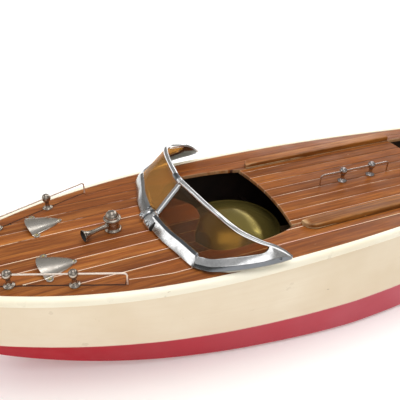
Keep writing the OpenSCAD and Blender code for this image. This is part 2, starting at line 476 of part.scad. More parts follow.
// middle post between the two panes, its top lug, its foot bracket and the screw that clamps the two halves
module windscreen_post() color("Silver") {
    l = ws_len(0);
    back = recess(0)*unit([ws_n(0.004)[0], 0, ws_n(0.004)[2]]);
    translate(ws(0, (bracket_h - 0.6)/l) + back) rotate([0, -rake, 0]) cylinder(r = 1.8, h = l - bracket_h);
    translate(ws(0, 1 - 2/l) + back) rotate([0, 90 - rake, 0]) cylinder(r = 1.6, h = 1.5 - recess(0));
    qs = [-0.0265, -0.012, 0, 0.012, 0.0265];
    slab([for (q = qs) bracket_row(q, 1.9)], [for (q = qs) bracket_row(q, -6.6)]);
    translate(ws(0, 0.12)) rotate([0, 90 - rake, 0]) cylinder(r = 1.9, h = 3);
}

// ---------- deck fittings ----------
// clam-shell vent, from its aft tip to its open mouth
vent_tip = [235.5, 27.6];
vent_mouth = [261.5, 25.6];
function vent_at(p, q) = let(c = mix(vent_tip, vent_mouth, p), w = 2 + 12*pow(p, 0.72))
    [c[0] - 1.8*q*q*p, c[1] + w*q];
function vent_rise(p, q) = 5.2*pow(max(0, p - 0.12)/0.88, 0.75)*pow(max(0, 1 - pow(abs(q)/0.74, 2)), 0.7);
function vent_pt(p, q, dz) = let(a = vent_at(p, q)) [a[0], a[1], deck_z(a[0], a[1]) + dz + vent_rise(p, q)];
vent_q = [-1, -0.74, -0.6, -0.4, -0.15, 0.15, 0.4, 0.6, 0.74, 1];
module vent() {
    ps = spread(0, 1, 7);
    slab([for (p = ps) [for (q = vent_q) vent_pt(p, q, 0.85)]], [for (p = ps) [for (q = vent_q) vent_pt(p, q, 0.08)]]);
}
module vent_port() color("Silver") vent();
module vent_starboard() color("Silver") mirror([0, 1, 0]) vent();
module vent_pins() color("Goldenrod") for (s = [-1, 1]) for (k = [[0.05, 0], [0.86, -0.88], [0.86, 0.88]]) let(a = vent_at(k[0], k[1]))
    translate([a[0], s*a[1], deck_z(a[0], a[1]) + (k[0] < 0.1 ? 1.3 : 1.03)]) rotate_extrude() polygon([[0, 0], [1.1, 0], [1.05, 0.3], [0.8, 0.65], [0.4, 0.85], [0, 0.9]]);

horn_x = 200.7;
horn_z = deck_z(horn_x, 0) + 0.1;
module horn_body() color("Silver") translate([horn_x, 0, horn_z]) rotate_extrude()
    polygon([[0, 0], [6.4, 0], [6.4, 0.7], [5.7, 1.35], [4.95, 2.1], [4.9, 3.2], [4.95, 5], [5.1, 7.4], [5.4, 8.8], [horn_r, 9.2], [horn_r, 10.3],
             [5.3, 10.9], [5.1, 11.6], [4.35, 13.9], [2.8, 15.4], [1.2, 16.1], [0, 16.2]]);
module horn_trumpet() color("Silver") translate([horn_x, 0, horn_z + 4.9]) rotate([0, 0, 16]) rotate([0, 90, 0]) rotate_extrude()
    polygon([[0, 5.3], [2.2, 5.3], [1.8, 6.2], [1.75, 15.5], [2, 18.6], [3, 22], [4.6, 24.3], [4.6, 24.9], [4.1, 24.9], [2.5, 21.8], [1.4, 18.4], [0, 18]]);

module wire(l, h, bend = 2.2) {
    for (x = [0, l]) translate([x, 0, 0]) cylinder(r = wire_r, h = h - bend);
    translate([bend, 0, h]) rotate([0, 90, 0]) cylinder(r = wire_r, h = l - 2*bend);
    translate([bend, 0, h - bend]) rotate([90, 0, 0]) rotate([0, 0, 90]) rotate_extrude(angle = 90) translate([bend, 0]) circle(r = wire_r);
    translate([l - bend, 0, h - bend]) rotate([90, 0, 0]) rotate_extrude(angle = 90) translate([bend, 0]) circle(r = wire_r);
}
module stanchion(h) rotate_extrude() polygon(concat(
    [[0, 0], [1.2, 0], [1.2, 0.24], [4, 0.24], [4, 0.7], [3.2, 1.2], [1.9, 1.8], [1.5, 3.4]],
    [for (a = [-62:14:78]) [ball_r*cos(a), h + ball_r*sin(a)]], [[0, h + ball_r]]));
// rail from foot a to foot b on the deck
function foot(a) = [a[0], a[1], deck_z(a[0], a[1]) + 0.06];
module rail_wire(a, b) {
    p = foot(a); d = foot(b) - p;
    translate(p) rotate([0, 0, atan2(d[1], d[0])]) rotate([0, -atan2(d[2], norm([d[0], d[1]])), 0]) wire(norm(d), rail_h);
}
module rail_posts(a, b, ts) {
    p = foot(a); d = foot(b) - p; tilt = atan2(d[2], norm([d[0], d[1]]));
    for (t = ts) let(o = foot([mix(a[0], b[0], t), mix(a[1], b[1], t)]), w = p[2] + t*d[2] + rail_h/cos(tilt)) difference() {
        translate(o) stanchion(w - o[2]);
        translate([o[0], o[1], w]) rotate([0, 0, atan2(d[1], d[0])]) rotate([0, 90 - tilt, 0]) translate([0, 0, -8]) cylinder(r = wire_r + 0.05, h = 16);
    }
}
fore_a = [208.4, 62.2];
fore_b = [304, 26];
module foredeck_rails() color("Silver") { rail_wire(fore_a, fore_b); mirror([0, 1, 0]) rail_wire(fore_a, fore_b); }
module foredeck_stanchions() color("Silver") { rail_posts(fore_a, fore_b, [0.34, 0.76]); mirror([0, 1, 0]) rail_posts(fore_a, fore_b, [0.34, 0.76]); }

// ---------- hatch ----------
module engine_hatch() color("Sienna") {
    slab([for (i = [0:8]) [for (j = [-4:4]) hatch_pt(i/8, j/4, 0)]], [for (i = [0:8]) [for (j = [-4:4]) hatch_pt(i/8, j/4, -deck_t)]]);
}
function hatch_pt(a, b, dz) = let(y = (hatch_half - 0.4)*b, x = mix(hatch_aft, hatch_front + 4.4*b*b, a)) [x, y, deck_z(x, y) + dz];
hatch_a = [-51.5, 5];
hatch_b = [19.5, 5];
module hatch_rail() color("Silver") rail_wire(hatch_a, hatch_b);
module hatch_stanchions() color("Silver") rail_posts(hatch_a, hatch_b, [0.255, 0.677]);

// ---------- needle valve ----------
module needle_valve() color("Goldenrod") on_shaft() translate([-24, 0, 16]) rotate([90, 0, 0]) difference() {
    union() {
        translate([0, 0, 6.6]) cylinder(r = 2.1, h = 6);
        translate([0, 0, 12.5]) cylinder(r = 0.9, h = 14);
        translate([0, 0, 26]) cylinder(r = 2.6, h = 4, $fn = 12);
    }
    translate([0, 0, 6]) cylinder(r = 1.25, h = 4.2);
}

hull_bottom();
hull_side_port();
hull_side_starboard();
transom_board();
gunwale_port();
gunwale_starboard();
deck();
hatch_ledges();
bulkheads();
cockpit_floor();
aft_cockpit_floor();
skeg();
strip_port();
strip_starboard();
tank_body();
tank_dome();
fuel_line();
engine_bearers();
mount_screws();
crankcase();
backplate();
shaft_bush();
cylinder_jacket();
cylinder_liner();
cylinder_head();
engine_screws();
glow_plug();
piston();
connecting_rod();
crank_pins();
intake_venturi();
spray_bar();
needle_valve();
exhaust_stack();
stern_tube();
tube_block();
stern_bushes();
rudder_tube();
windscreen_frame_port();
windscreen_frame_starboard();
windscreen_pane_port();
windscreen_pane_starboard();
windscreen_post();
vent_port();
vent_starboard();
vent_pins();
horn_body();
horn_trumpet();
foredeck_rails();
foredeck_stanchions();
engine_hatch();
hatch_rail();
hatch_stanchions();
crankshaft();
flywheel();
shaft_coupling();
propeller_shaft();
propeller();
rudder();
tiller_arm();
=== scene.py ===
import math
import random

import bmesh
import bpy
from mathutils import Matrix, Vector, noise


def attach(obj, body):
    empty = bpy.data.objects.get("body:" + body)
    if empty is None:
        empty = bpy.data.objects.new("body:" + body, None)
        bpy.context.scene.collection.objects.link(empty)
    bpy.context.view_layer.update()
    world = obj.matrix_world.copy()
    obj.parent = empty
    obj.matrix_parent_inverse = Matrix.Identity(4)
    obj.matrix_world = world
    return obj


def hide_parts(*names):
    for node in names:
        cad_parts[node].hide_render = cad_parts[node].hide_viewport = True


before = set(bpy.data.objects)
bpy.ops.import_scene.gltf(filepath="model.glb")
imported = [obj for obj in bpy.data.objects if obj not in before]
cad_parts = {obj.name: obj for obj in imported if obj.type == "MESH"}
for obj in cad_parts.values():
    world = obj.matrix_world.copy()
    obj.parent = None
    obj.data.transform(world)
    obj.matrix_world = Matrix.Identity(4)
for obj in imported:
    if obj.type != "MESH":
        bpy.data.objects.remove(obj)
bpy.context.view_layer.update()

MM = 0.001
R = random.Random(7)
scene = bpy.context.scene


# ---------------------------------------------------------------- shader tools
class Tree:
    """A material's node tree with short calls for the nodes used here."""

    def __init__(self, name):
        self.m = bpy.data.materials.new(name)
        self.m.use_nodes = True
        self.nt = self.m.node_tree
        self.nt.nodes.clear()
        self.out = self.nt.nodes.new("ShaderNodeOutputMaterial")
        self.b = self.nt.nodes.new("ShaderNodeBsdfPrincipled")
        self.nt.links.new(self.b.outputs[0], self.out.inputs["Surface"])
        self.co = self.nt.nodes.new("ShaderNodeTexCoord").outputs["Object"]

    def put(self, socket, value):
        if isinstance(value, bpy.types.NodeSocket):
            self.nt.links.new(value, socket)
        elif isinstance(value, (tuple, list)) and len(value) == 3 and socket.type == "RGBA":
            socket.default_value = (*value, 1)
        else:
            socket.default_value = value

    def set(self, **kw):
        for k, v in kw.items():
            self.put(self.b.inputs[k.replace("_", " ")], v)
        return self

    def mapped(self, scale=(1, 1, 1), offset=None, vec=None):
        n = self.nt.nodes.new("ShaderNodeMapping")
        self.put(n.inputs["Vector"], vec if vec is not None else self.co)
        n.inputs["Scale"].default_value = scale
        if offset is not None:
            self.put(n.inputs["Location"], offset)
        return n.outputs[0]

    def noise(self, scale, vec=None, detail=4, rough=0.55, distort=0.0):
        n = self.nt.nodes.new("ShaderNodeTexNoise")
        self.put(n.inputs["Vector"], vec if vec is not None else self.co)
        n.inputs["Scale"].default_value = scale
        n.inputs["Detail"].default_value = detail
        n.inputs["Roughness"].default_value = rough
        n.inputs["Distortion"].default_value = distort
        return n.outputs["Fac"]

    def ramp(self, fac, *stops):
        n = self.nt.nodes.new("ShaderNodeValToRGB")
        self.put(n.inputs[0], fac)
        e = n.color_ramp.elements
        while len(e) < len(stops):
            e.new(0.5)
        for el, (pos, col) in zip(e, stops):
            el.position = pos
            el.color = (*col, 1) if isinstance(col, (tuple, list)) else (col, col, col, 1)
        return n.outputs[0]

    def mix(self, fac, a, b, mode="MIX"):
        n = self.nt.nodes.new("ShaderNodeMix")
        n.data_type = "RGBA"
        n.blend_type = mode
        self.put(n.inputs[0], fac)
        self.put(n.inputs[6], a)
        self.put(n.inputs[7], b)
        return n.outputs[2]

    def math(self, op, a, b=0.0, c=0.0, clamp=False):
        n = self.nt.nodes.new("ShaderNodeMath")
        n.operation = op
        n.use_clamp = clamp
        self.put(n.inputs[0], a)
        self.put(n.inputs[1], b)
        self.put(n.inputs[2], c)
        return n.outputs[0]

    def attr(self, name):
        n = self.nt.nodes.new("ShaderNodeAttribute")
        n.attribute_name = name
        return n.outputs["Fac"]

    def axis(self, k):
        n = self.nt.nodes.new("ShaderNodeSeparateXYZ")
        self.put(n.inputs[0], self.co)
        return n.outputs[k]

    def bump(self, height, strength=0.3, dist=0.0002):
        n = self.nt.nodes.new("ShaderNodeBump")
        n.inputs["Strength"].default_value = strength
        n.inputs["Distance"].default_value = dist
        self.put(n.inputs["Height"], height)
        self.put(self.b.inputs["Normal"], n.outputs[0])
        return self


def paint(name, main, dull, chip, painted_floor_glare=None, rough=0.34, chips=0.70, spec=0.4):
    """Brushed-on gloss paint over wood: brush marks, dull clouds, small chips."""
    t = Tree(name)
    cloud = t.noise(16, detail=3)
    streak = t.noise(1.0, t.mapped((9, 260, 260)), detail=4)
    col = t.mix(t.ramp(cloud, (0.32, 0.0), (0.72, 1.0)), main, dull)
    col = t.mix(t.math("MULTIPLY", t.ramp(streak, (0.45, 0.0), (0.75, 1.0)), 0.35), col, dull)
    # towards the stern the colour is painted paler and pinker: a painted reflection of the pale floor in the gloss
    if painted_floor_glare is not None:
        f = t.math("MULTIPLY_ADD", t.axis(0), -2.9, 0.74, clamp=True)
        f = t.math("MULTIPLY", f, t.ramp(t.noise(30, detail=4), (0.25, 0.55), (0.75, 1.0)))
        col = t.mix(f, col, painted_floor_glare)
    spots = t.ramp(t.noise(210, t.mapped((0.45, 1, 1)), detail=5, rough=0.7), (chips, 0.0), (chips + 0.035, 1.0))
    col = t.mix(spots, col, chip)
    t.set(Base_Color=col, Roughness=t.ramp(t.noise(60, detail=5), (0.3, rough - 0.07), (0.7, rough + 0.12)),
          Specular_IOR_Level=spec)
    return t.bump(t.math("ADD", streak, t.math("MULTIPLY", spots, -1.2)), 0.16, 0.00025).m


def wood(name, dark, mid, light, coat=0.10, rough=0.42, worn=(0.62, 0.42, 0.24), grain=1.0, scratches=True, spec=0.22):
    """Varnished mahogany with the grain along X. The meshes carry the numbers plank, from 0 to 1, and wear."""
    t = Tree(name)
    pid = t.attr("plank")
    comb = t.nt.nodes.new("ShaderNodeCombineXYZ")
    for k, s in enumerate((3.7, 11.3, 5.1)):
        t.put(comb.inputs[k], t.math("MULTIPLY", pid, s))
    shift = comb.outputs[0]
    broad = t.noise(1.0, t.mapped((5.5, 95 * grain, 60), shift), detail=5, rough=0.6, distort=0.35)
    streak = t.noise(1.0, t.mapped((16, 420 * grain, 200), shift), detail=5, rough=0.6, distort=0.15)
    fine = t.noise(1.0, t.mapped((75, 2100 * grain, 900), shift), detail=3)
    col = t.ramp(broad, (0.24, dark), (0.47, mid), (0.74, light))
    col = t.mix(t.ramp(streak, (0.36, 0.75), (0.58, 0.0)), col, dark)
    col = t.mix(t.math("MULTIPLY", t.ramp(fine, (0.40, 1.0), (0.52, 0.0)), 0.34), col, tuple(c * 0.35 for c in dark))
    tint = t.math("MULTIPLY_ADD", pid, 0.42, 0.79)
    one = t.nt.nodes.new("ShaderNodeCombineColor")
    for k in range(3):
        t.put(one.inputs[k], tint)
    col = t.mix(1.0, col, one.outputs[0], "MULTIPLY")
    patch = t.ramp(t.noise(11, t.mapped((0.6, 1.4, 1)), detail=5, rough=0.65), (0.50, 0.0), (0.80, 0.30))
    col = t.mix(patch, col, tuple(min(1, c * 1.3 + 0.012) for c in mid))
    if scratches:
        nick = t.ramp(t.noise(330, t.mapped((0.22, 1, 1)), detail=4, rough=0.7), (0.72, 0.0), (0.745, 1.0))
        col = t.mix(t.math("MULTIPLY", nick, 0.75), col, worn)
    w = t.math("MULTIPLY", t.attr("wear"), t.ramp(t.noise(120, detail=5, rough=0.7), (0.34, 0.15), (0.56, 1.0)))
    col = t.mix(w, col, worn)
    t.set(Base_Color=col, Roughness=t.ramp(t.noise(42, detail=5), (0.3, rough - 0.1), (0.75, rough + 0.16)),
          Coat_Weight=coat, Coat_Roughness=0.2, Specular_IOR_Level=spec)
    return t.bump(t.math("ADD", t.math("MULTIPLY", streak, 0.6), fine), 0.14, 0.00018).m


def metal(name, base, dull, rough=0.28, scale=90, blot=0.5, tarnish=None, bump=0.05, metallic=1.0):
    """Plated or bare metal with soft blotches, fine rubbing marks and a rougher film."""
    t = Tree(name)
    blots = t.noise(scale, detail=5, rough=0.65)
    rub = t.noise(1.0, t.mapped((900, 900, 240)), detail=2)
    col = t.mix(t.math("MULTIPLY", t.ramp(blots, (0.40, 0.0), (0.68, 1.0)), blot), base, dull)
    if tarnish is not None:
        col = t.mix(t.ramp(t.noise(scale * 2.3, detail=6, rough=0.7), (0.60, 0.0), (0.72, 0.8)), col, tarnish)
    t.set(Base_Color=col, Metallic=metallic,
          Roughness=t.ramp(blots, (0.3, rough - 0.07), (0.72, rough + 0.13)))
    return t.bump(t.math("ADD", rub, blots), bump, 0.0001).m


def painted_facet_chrome(name, bright, dull):
    """Chrome strip whose facets are painted bright or dark, as painted reflection of the light each facet catches. The
    mesh carries a number from 0 to 1 for how dark each point is painted.
    """
    t = Tree(name)
    blots = t.noise(120, detail=5, rough=0.65)
    rub = t.noise(1.0, t.mapped((700, 700, 240)), detail=2)
    col = t.mix(t.attr("wear"), bright, dull)
    col = t.mix(t.math("MULTIPLY", t.ramp(blots, (0.42, 0.0), (0.70, 1.0)), 0.35), col, tuple(0.62 * c for c in dull))
    t.set(Base_Color=col, Metallic=1.0, Roughness=t.ramp(blots, (0.3, 0.09), (0.72, 0.24)))
    return t.bump(t.math("ADD", rub, blots), 0.05, 0.0001).m


def flat_stuff(name, a, b, rough=0.7, scale=160, bump=0.25, dist=0.0003, stretch=(1, 1, 1)):
    t = Tree(name)
    n = t.noise(scale, t.mapped(stretch), detail=6, rough=0.65)
    t.set(Base_Color=t.mix(t.ramp(n, (0.32, 0.0), (0.70, 1.0)), a, b),
          Roughness=t.ramp(n, (0.3, rough - 0.1), (0.75, rough + 0.12)))
    return t.bump(n, bump, dist).m


CREAM = paint("cream_paint", (0.82, 0.71, 0.54), (0.74, 0.61, 0.43), (0.30, 0.19, 0.10))
# the gunwale has the hull's cream paint; its paler, whiter colour is painted highlight on the lit top edge
RAIL_CREAM_PAINTED_HIGHLIGHT = paint("gunwale_cream_painted_highlight", (0.90, 0.85, 0.70), (0.84, 0.76, 0.58), (0.42, 0.28, 0.16), rough=0.30, chips=0.72)
RED = paint("red_paint", (0.44, 0.014, 0.026), (0.37, 0.012, 0.020), (0.12, 0.010, 0.012), painted_floor_glare=(0.60, 0.15, 0.19), rough=0.48, chips=0.74, spec=0.10)
LINE = flat_stuff("paint_edge", (0.72, 0.46, 0.38), (0.60, 0.28, 0.24), rough=0.45, scale=240, bump=0.1)
DECK = wood("deck_mahogany", (0.135, 0.033, 0.006), (0.285, 0.082, 0.014), (0.430, 0.160, 0.032))
LID = wood("hatch_mahogany", (0.118, 0.030, 0.004), (0.245, 0.070, 0.010), (0.375, 0.132, 0.024), coat=0.025, rough=0.46, spec=0.12)
STRIP = wood("strip_mahogany", (0.125, 0.034, 0.005), (0.265, 0.084, 0.012), (0.380, 0.148, 0.028), worn=(0.66, 0.45, 0.24))
END = wood("transom_mahogany", (0.120, 0.032, 0.010), (0.230, 0.074, 0.022), (0.340, 0.130, 0.042), grain=0.8)
PLY = flat_stuff("bare_wood", (0.36, 0.23, 0.12), (0.22, 0.13, 0.065), rough=0.62, scale=1.0, bump=0.3, stretch=(8, 190, 190))
INSIDE = flat_stuff("inside_black", (0.012, 0.008, 0.007), (0.030, 0.018, 0.013), rough=0.68, scale=55, bump=0.3)


def seam(name, pale, rose, dark, bias, fore=0.0):
    """Plank seams: pale in stretches and dark in others. They are painted paler towards +y, the port side, as painted
    highlight on the groove edges; with fore they are also paler towards the front end.
    """
    t = Tree(name)
    y = t.axis(1)
    n = t.noise(1.0, t.mapped((26, 55, 20)), detail=5, rough=0.7)
    highlight_lean = t.math("MULTIPLY_ADD", y, 4.2, bias)
    if fore:
        highlight_lean = t.math("ADD", highlight_lean, t.math("MULTIPLY", t.ramp(t.axis(0), (0.0, 0.0), (0.042, 1.0)), fore))
    pale_mask = t.ramp(t.math("ADD", n, highlight_lean), (0.40, 0.0), (0.52, 1.0))
    col = t.mix(t.ramp(t.noise(38, detail=3), (0.4, 0.0), (0.62, 1.0)), pale, rose)
    col = t.mix(pale_mask, dark, col)
    t.set(Base_Color=col, Roughness=0.55)
    return t.bump(t.noise(700, detail=3), 0.3, 0.0001).m


SEAM = seam("deck_seam", (0.78, 0.60, 0.42), (0.74, 0.44, 0.36), (0.085, 0.028, 0.012), 0.08)
LID_SEAM = seam("hatch_seam", (0.66, 0.50, 0.36), (0.45, 0.24, 0.17), (0.060, 0.022, 0.010), -0.11, 0.24)

# near-black strips of painted shadow: under the foredeck rail wires and round the foot of the strips beside the hatch
SHADOW_LINE = flat_stuff("painted_shadow_line", (0.030, 0.010, 0.005), (0.014, 0.006, 0.004), rough=0.7, scale=180, bump=0.2)

NICKEL = metal("aged_nickel", (0.47, 0.41, 0.35), (0.30, 0.25, 0.20), rough=0.22, scale=160, tarnish=(0.22, 0.17, 0.12))
SATIN = metal("satin_nickel", (0.69, 0.64, 0.57), (0.48, 0.43, 0.37), rough=0.27, scale=150, blot=0.6)
# foredeck rail wire: the hatch wire's metal made paler, pinker and partly diffuse, as painted sheen on the lit wire
WIRE_PAINTED_SHEEN = metal("rail_wire", (0.95, 0.83, 0.73), (0.70, 0.57, 0.46), rough=0.30, scale=300, metallic=0.6)
LID_WIRE = metal("hatch_wire", (0.60, 0.52, 0.47), (0.40, 0.32, 0.27), rough=0.24, scale=90)
LID_NICKEL = metal("hatch_nickel", (0.50, 0.45, 0.43), (0.26, 0.21, 0.20), rough=0.15, scale=240, tarnish=(0.13, 0.09, 0.08))
CHROME = metal("bright_chrome", (0.84, 0.85, 0.86), (0.66, 0.67, 0.68), rough=0.15, scale=110, blot=0.6)
POLISH = metal("polished_chrome", (0.82, 0.83, 0.84), (0.62, 0.62, 0.63), rough=0.10, scale=70, blot=0.5)
DULL_CHROME = metal("dulled_chrome", (0.20, 0.215, 0.23), (0.10, 0.11, 0.12), rough=0.30, scale=160)
# windscreen lower bars: the bright and dark facets are painted reflection
BAR_PAINTED_REFLECTION = painted_facet_chrome("windscreen_chrome_painted_reflection", (0.90, 0.90, 0.90), (0.185, 0.195, 0.210))
BRASS = metal("brass", (0.70, 0.52, 0.20), (0.46, 0.33, 0.13), rough=0.27, scale=70, tarnish=(0.24, 0.18, 0.08))
DOME = metal("tank_brass", (0.300, 0.235, 0.062), (0.215, 0.165, 0.040), rough=0.15, scale=42, blot=0.8, tarnish=(0.36, 0.31, 0.14), metallic=0.8)
PIN = metal("brass_pins", (0.66, 0.55, 0.26), (0.44, 0.36, 0.16), rough=0.3, scale=500)
BRONZE = metal("bronze", (0.50, 0.32, 0.15), (0.34, 0.20, 0.09), rough=0.33, scale=120)
STEEL = metal("ground_steel", (0.56, 0.56, 0.57), (0.40, 0.40, 0.41), rough=0.26, scale=200)
ALLOY = metal("cast_alloy", (0.62, 0.62, 0.60), (0.46, 0.46, 0.45), rough=0.42, scale=420, bump=0.22)
FINS = metal("machined_alloy", (0.52, 0.52, 0.51), (0.36, 0.36, 0.36), rough=0.32, scale=260)
TUBE = flat_stuff("fuel_tube", (0.62, 0.44, 0.22), (0.52, 0.34, 0.15), rough=0.32, scale=90, bump=0.08)
# near-black for painted shade: in screw slots and sockets, in the horn's mouth and in the gap at the windscreen saddle
PAINTED_HOLE_SHADE = flat_stuff("painted_hole_shade", (0.010, 0.009, 0.008), (0.022, 0.018, 0.015), rough=0.6, scale=400, bump=0.1)


def pane(name, tint, painted_film, share):
    """Amber sheet: tinted light passes, with a thin film of haze and surface gloss. The film's colour is painted light
    and shade, set for each pane.
    """
    t = Tree(name)
    haze = t.noise(26, t.mapped((1, 1, 1.6)), detail=4)
    t.set(Base_Color=t.mix(t.ramp(haze, (0.35, 0.0), (0.7, 1.0)), painted_film, tuple(c * 0.7 for c in painted_film)),
          Roughness=0.10, Specular_IOR_Level=0.5)
    clear = t.nt.nodes.new("ShaderNodeBsdfTransparent")
    clear.inputs["Color"].default_value = (*tint, 1)
    mix = t.nt.nodes.new("ShaderNodeMixShader")
    t.put(mix.inputs[0], t.ramp(haze, (0.3, share - 0.05), (0.75, share + 0.06)))
    t.nt.links.new(clear.outputs[0], mix.inputs[1])
    t.nt.links.new(t.b.outputs[0], mix.inputs[2])
    t.nt.links.new(mix.outputs[0], t.out.inputs["Surface"])
    return t.m


# the two panes are one amber celluloid: the far pane gets a bright amber film as painted light, the near pane a dark
# brown film as painted shade
PANE_FAR_PAINTED_LIGHT = pane("amber_pane_far_painted_light", (0.72, 0.48, 0.19), (0.72, 0.40, 0.12), 0.32)
PANE_NEAR_PAINTED_SHADE = pane("amber_pane_near_painted_shade", (0.70, 0.55, 0.38), (0.22, 0.15, 0.09), 0.12)


# ---------------------------------------------------------------- mesh tools
def link(ob):
    scene.collection.objects.link(ob)
    return ob


def make(name, verts, faces, mats, fmat=None, body="hull", angle=35, stands=(), slot=None, weld=0.0, attrs=None):
    me = bpy.data.meshes.new(name)
    me.from_pydata([(x * MM, y * MM, z * MM) for x, y, z in verts], [], faces)
    for m in mats if isinstance(mats, (list, tuple)) else [mats]:
        me.materials.append(m)
    if fmat:
        me.polygons.foreach_set("material_index", fmat)
    for k, vals in (attrs or {}).items():
        a = me.attributes.new(k, "FLOAT", "POINT")
        a.data.foreach_set("value", vals)
    bm = bmesh.new()
    bm.from_mesh(me)
    if weld:
        bmesh.ops.remove_doubles(bm, verts=bm.verts[:], dist=weld * MM)
        bmesh.ops.dissolve_degenerate(bm, edges=bm.edges[:], dist=1e-7)
    bmesh.ops.recalc_face_normals(bm, faces=bm.faces[:])
    bm.to_mesh(me)
    bm.free()
    me.polygons.foreach_set("use_smooth", [True] * len(me.polygons))
    me.set_sharp_from_angle(angle=math.radians(angle))
    ob = link(bpy.data.objects.new(name, me))
    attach(ob, body)
    if stands:
        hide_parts(*stands)
    return ob


class Parts:
    """Vertices and faces of several closed forms gathered into one piece."""

    def __init__(self):
        self.v, self.f, self.m, self.attrs = [], [], [], {}

    def add(self, verts, faces, mat=0, place=None, **attrs):
        o = len(self.v)
        if place is not None:
            verts = [tuple(place @ Vector(p)) for p in verts]
        self.v += [tuple(p) for p in verts]
        self.f += [tuple(o + i for i in f) for f in faces]
        self.m += [mat] * len(faces) if isinstance(mat, int) else list(mat)
        for k, val in attrs.items():
            have = self.attrs.setdefault(k, [0.0] * o)
            have += list(val) if hasattr(val, "__len__") else [val] * len(verts)
        for k, have in self.attrs.items():
            have += [0.0] * (len(self.v) - len(have))
        return self

    def make(self, name, mats, **kw):
        return make(name, self.v, self.f, mats, self.m, attrs=self.attrs, **kw)


def loft(rings, caps=True, closed=True):
    """Skin over rings of equal length; the ends are closed with a face."""
    m = len(rings[0])
    v = [p for r in rings for p in r]
    last = m if closed else m - 1
    f = [(i * m + j, (i + 1) * m + j, (i + 1) * m + (j + 1) % m, i * m + (j + 1) % m)
         for i in range(len(rings) - 1) for j in range(last)]
    if caps:
        f.append(tuple(range(m)))
        f.append(tuple((len(rings) - 1) * m + j for j in reversed(range(m))))
    return v, f


def lathe(profile, n=40):
    """Turned form about Z from (radius, height) points; a radius of 0 closes it."""
    v, rows = [], []
    for r, z in profile:
        if r < 1e-6:
            rows.append([len(v)])
            v.append((0, 0, z))
        else:
            rows.append(list(range(len(v), len(v) + n)))
            v += [(r * math.cos(2 * math.pi * k / n), r * math.sin(2 * math.pi * k / n), z) for k in range(n)]
    f = []
    for a, b in zip(rows, rows[1:]):
        for k in range(n):
            q = [a[k % len(a)], a[(k + 1) % len(a)], b[(k + 1) % len(b)], b[k % len(b)]]
            q = [x for i, x in enumerate(q) if x not in q[:i]]
            if len(q) > 2:
                f.append(tuple(q))
    return v, f


def tube(path, r, n=12, caps=True):
    """Round rod along a path."""
    pts = [Vector(p) for p in path]
    rings, side = [], None
    for i, p in enumerate(pts):
        d = (pts[min(i + 1, len(pts) - 1)] - pts[max(i - 1, 0)]).normalized()
        if side is None:
            side = d.orthogonal().normalized()
        side = (side - d * side.dot(d)).normalized()
        up = d.cross(side)
        rr = r[i] if hasattr(r, "__len__") else r
        rings.append([tuple(p + rr * (math.cos(2 * math.pi * k / n) * side + math.sin(2 * math.pi * k / n) * up)) for k in range(n)])
    return loft(rings, caps)


def at(x, y, z, *turns):
    m = Matrix.Translation((x, y, z))
    for axis, deg in turns:
        m = m @ Matrix.Rotation(math.radians(deg), 4, axis)
    return m


def soften(profile, r=0.25, n=3):
    """Rounds the corners of a closed outline of (a, b) points."""
    out, m = [], len(profile)
    for i in range(m):
        p, q, s = (Vector((*profile[(i + k) % m], 0)) for k in (-1, 0, 1))
        a, b = (p - q), (s - q)
        k = min(r, a.length * 0.45, b.length * 0.45)
        a, b = q + a.normalized() * k, q + b.normalized() * k
        for t in range(n + 1):
            t /= n
            out.append(tuple(((1 - t) ** 2 * a + 2 * t * (1 - t) * q + t * t * b)[:2]))
    return out


def spread(a, b, n):
    return [a + (b - a) * i / n for i in range(n + 1)]


def mix(a, b, t):
    return a + (b - a) * t


def smooth(t):
    c = min(1.0, max(0.0, t))
    return c * c * (3 - 2 * c)


# ---------------------------------------------------------------- lines of the boat
X0, X1 = -357.5, 360.0


def uu(x):
    return (x - 70) / 100


def half_beam(x):
    a = uu(x)
    if a >= 0:
        return 1.2 + 80.8 * (1 - min(a / 2.9, 1) ** 2.74)
    return 82 - 19 * (1 - math.cos(math.pi * (-a) / 4.6))


def deck_z(x, y):
    a = uu(x)
    return 95 + 1.92 * a - 0.258 * a * a + 2.9 * (1 - y * y / 6400)


def edge_z(x):
    return deck_z(x, half_beam(x))


def chine_y(x):
    a = uu(x)
    if a >= -0.5:
        return 1.2 + 77.3 * (1 - min((a + 0.5) / 3.36, 1) ** 1.55)
    return 78.5 - 18.5 * (1 - math.cos(math.pi * (-a - 0.5) / 4.1))


def chine_z(x):
    a = uu(x)
    return 3 + 50 * (max(0, a - 0.4) / 2.5) ** 2.6 + 41 * smooth((-1.4 - a) / 2.9)


def keel_z(x):
    a = uu(x)
    return 47 * (max(0, a - 1.4) / 1.44) ** 2.6 + 41 * smooth((-1.8 - a) / 2.5)


def flat_part(x):
    return 0.4 * (1 - smooth((uu(x) - 0.9) / 1.2)) * smooth((uu(x) + 4.3) / 1.1)


def paint_z(x):
    return 31 + 3.7 * max(0, uu(x) - 0.5) ** 1.8 + 25 * smooth((-1.4 - uu(x)) / 2.9)


def along(t):
    return 1 - (1 - t) ** 1.3


def bow_back(x):
    return x - 2.3 * smooth((x - 290) / 70)


# ---------------------------------------------------------------- camera
ROLL = math.radians(0.270)
D = Vector((-0.32764, -0.77093, -0.54618)).normalized()
RIGHT = Vector((-0.9203, 0.3911, 0)).normalized()
DOWN = D.cross(RIGHT).normalized()
if DOWN.z > 0:
    DOWN.negate()
rx = math.cos(ROLL) * RIGHT + math.sin(ROLL) * DOWN
dy = -math.sin(ROLL) * RIGHT + math.cos(ROLL) * DOWN
cam = bpy.data.cameras.new("camera")
cam.sensor_width = 36
cam.lens = 49.51
cam.clip_start = 0.01
cam_ob = link(bpy.data.objects.new("camera", cam))
cam_ob.matrix_world = Matrix.Translation((0.271927, 0.335513, 0.345280)) @ Matrix((rx, -dy, -D)).transposed().to_4x4()
scene.camera = cam_ob


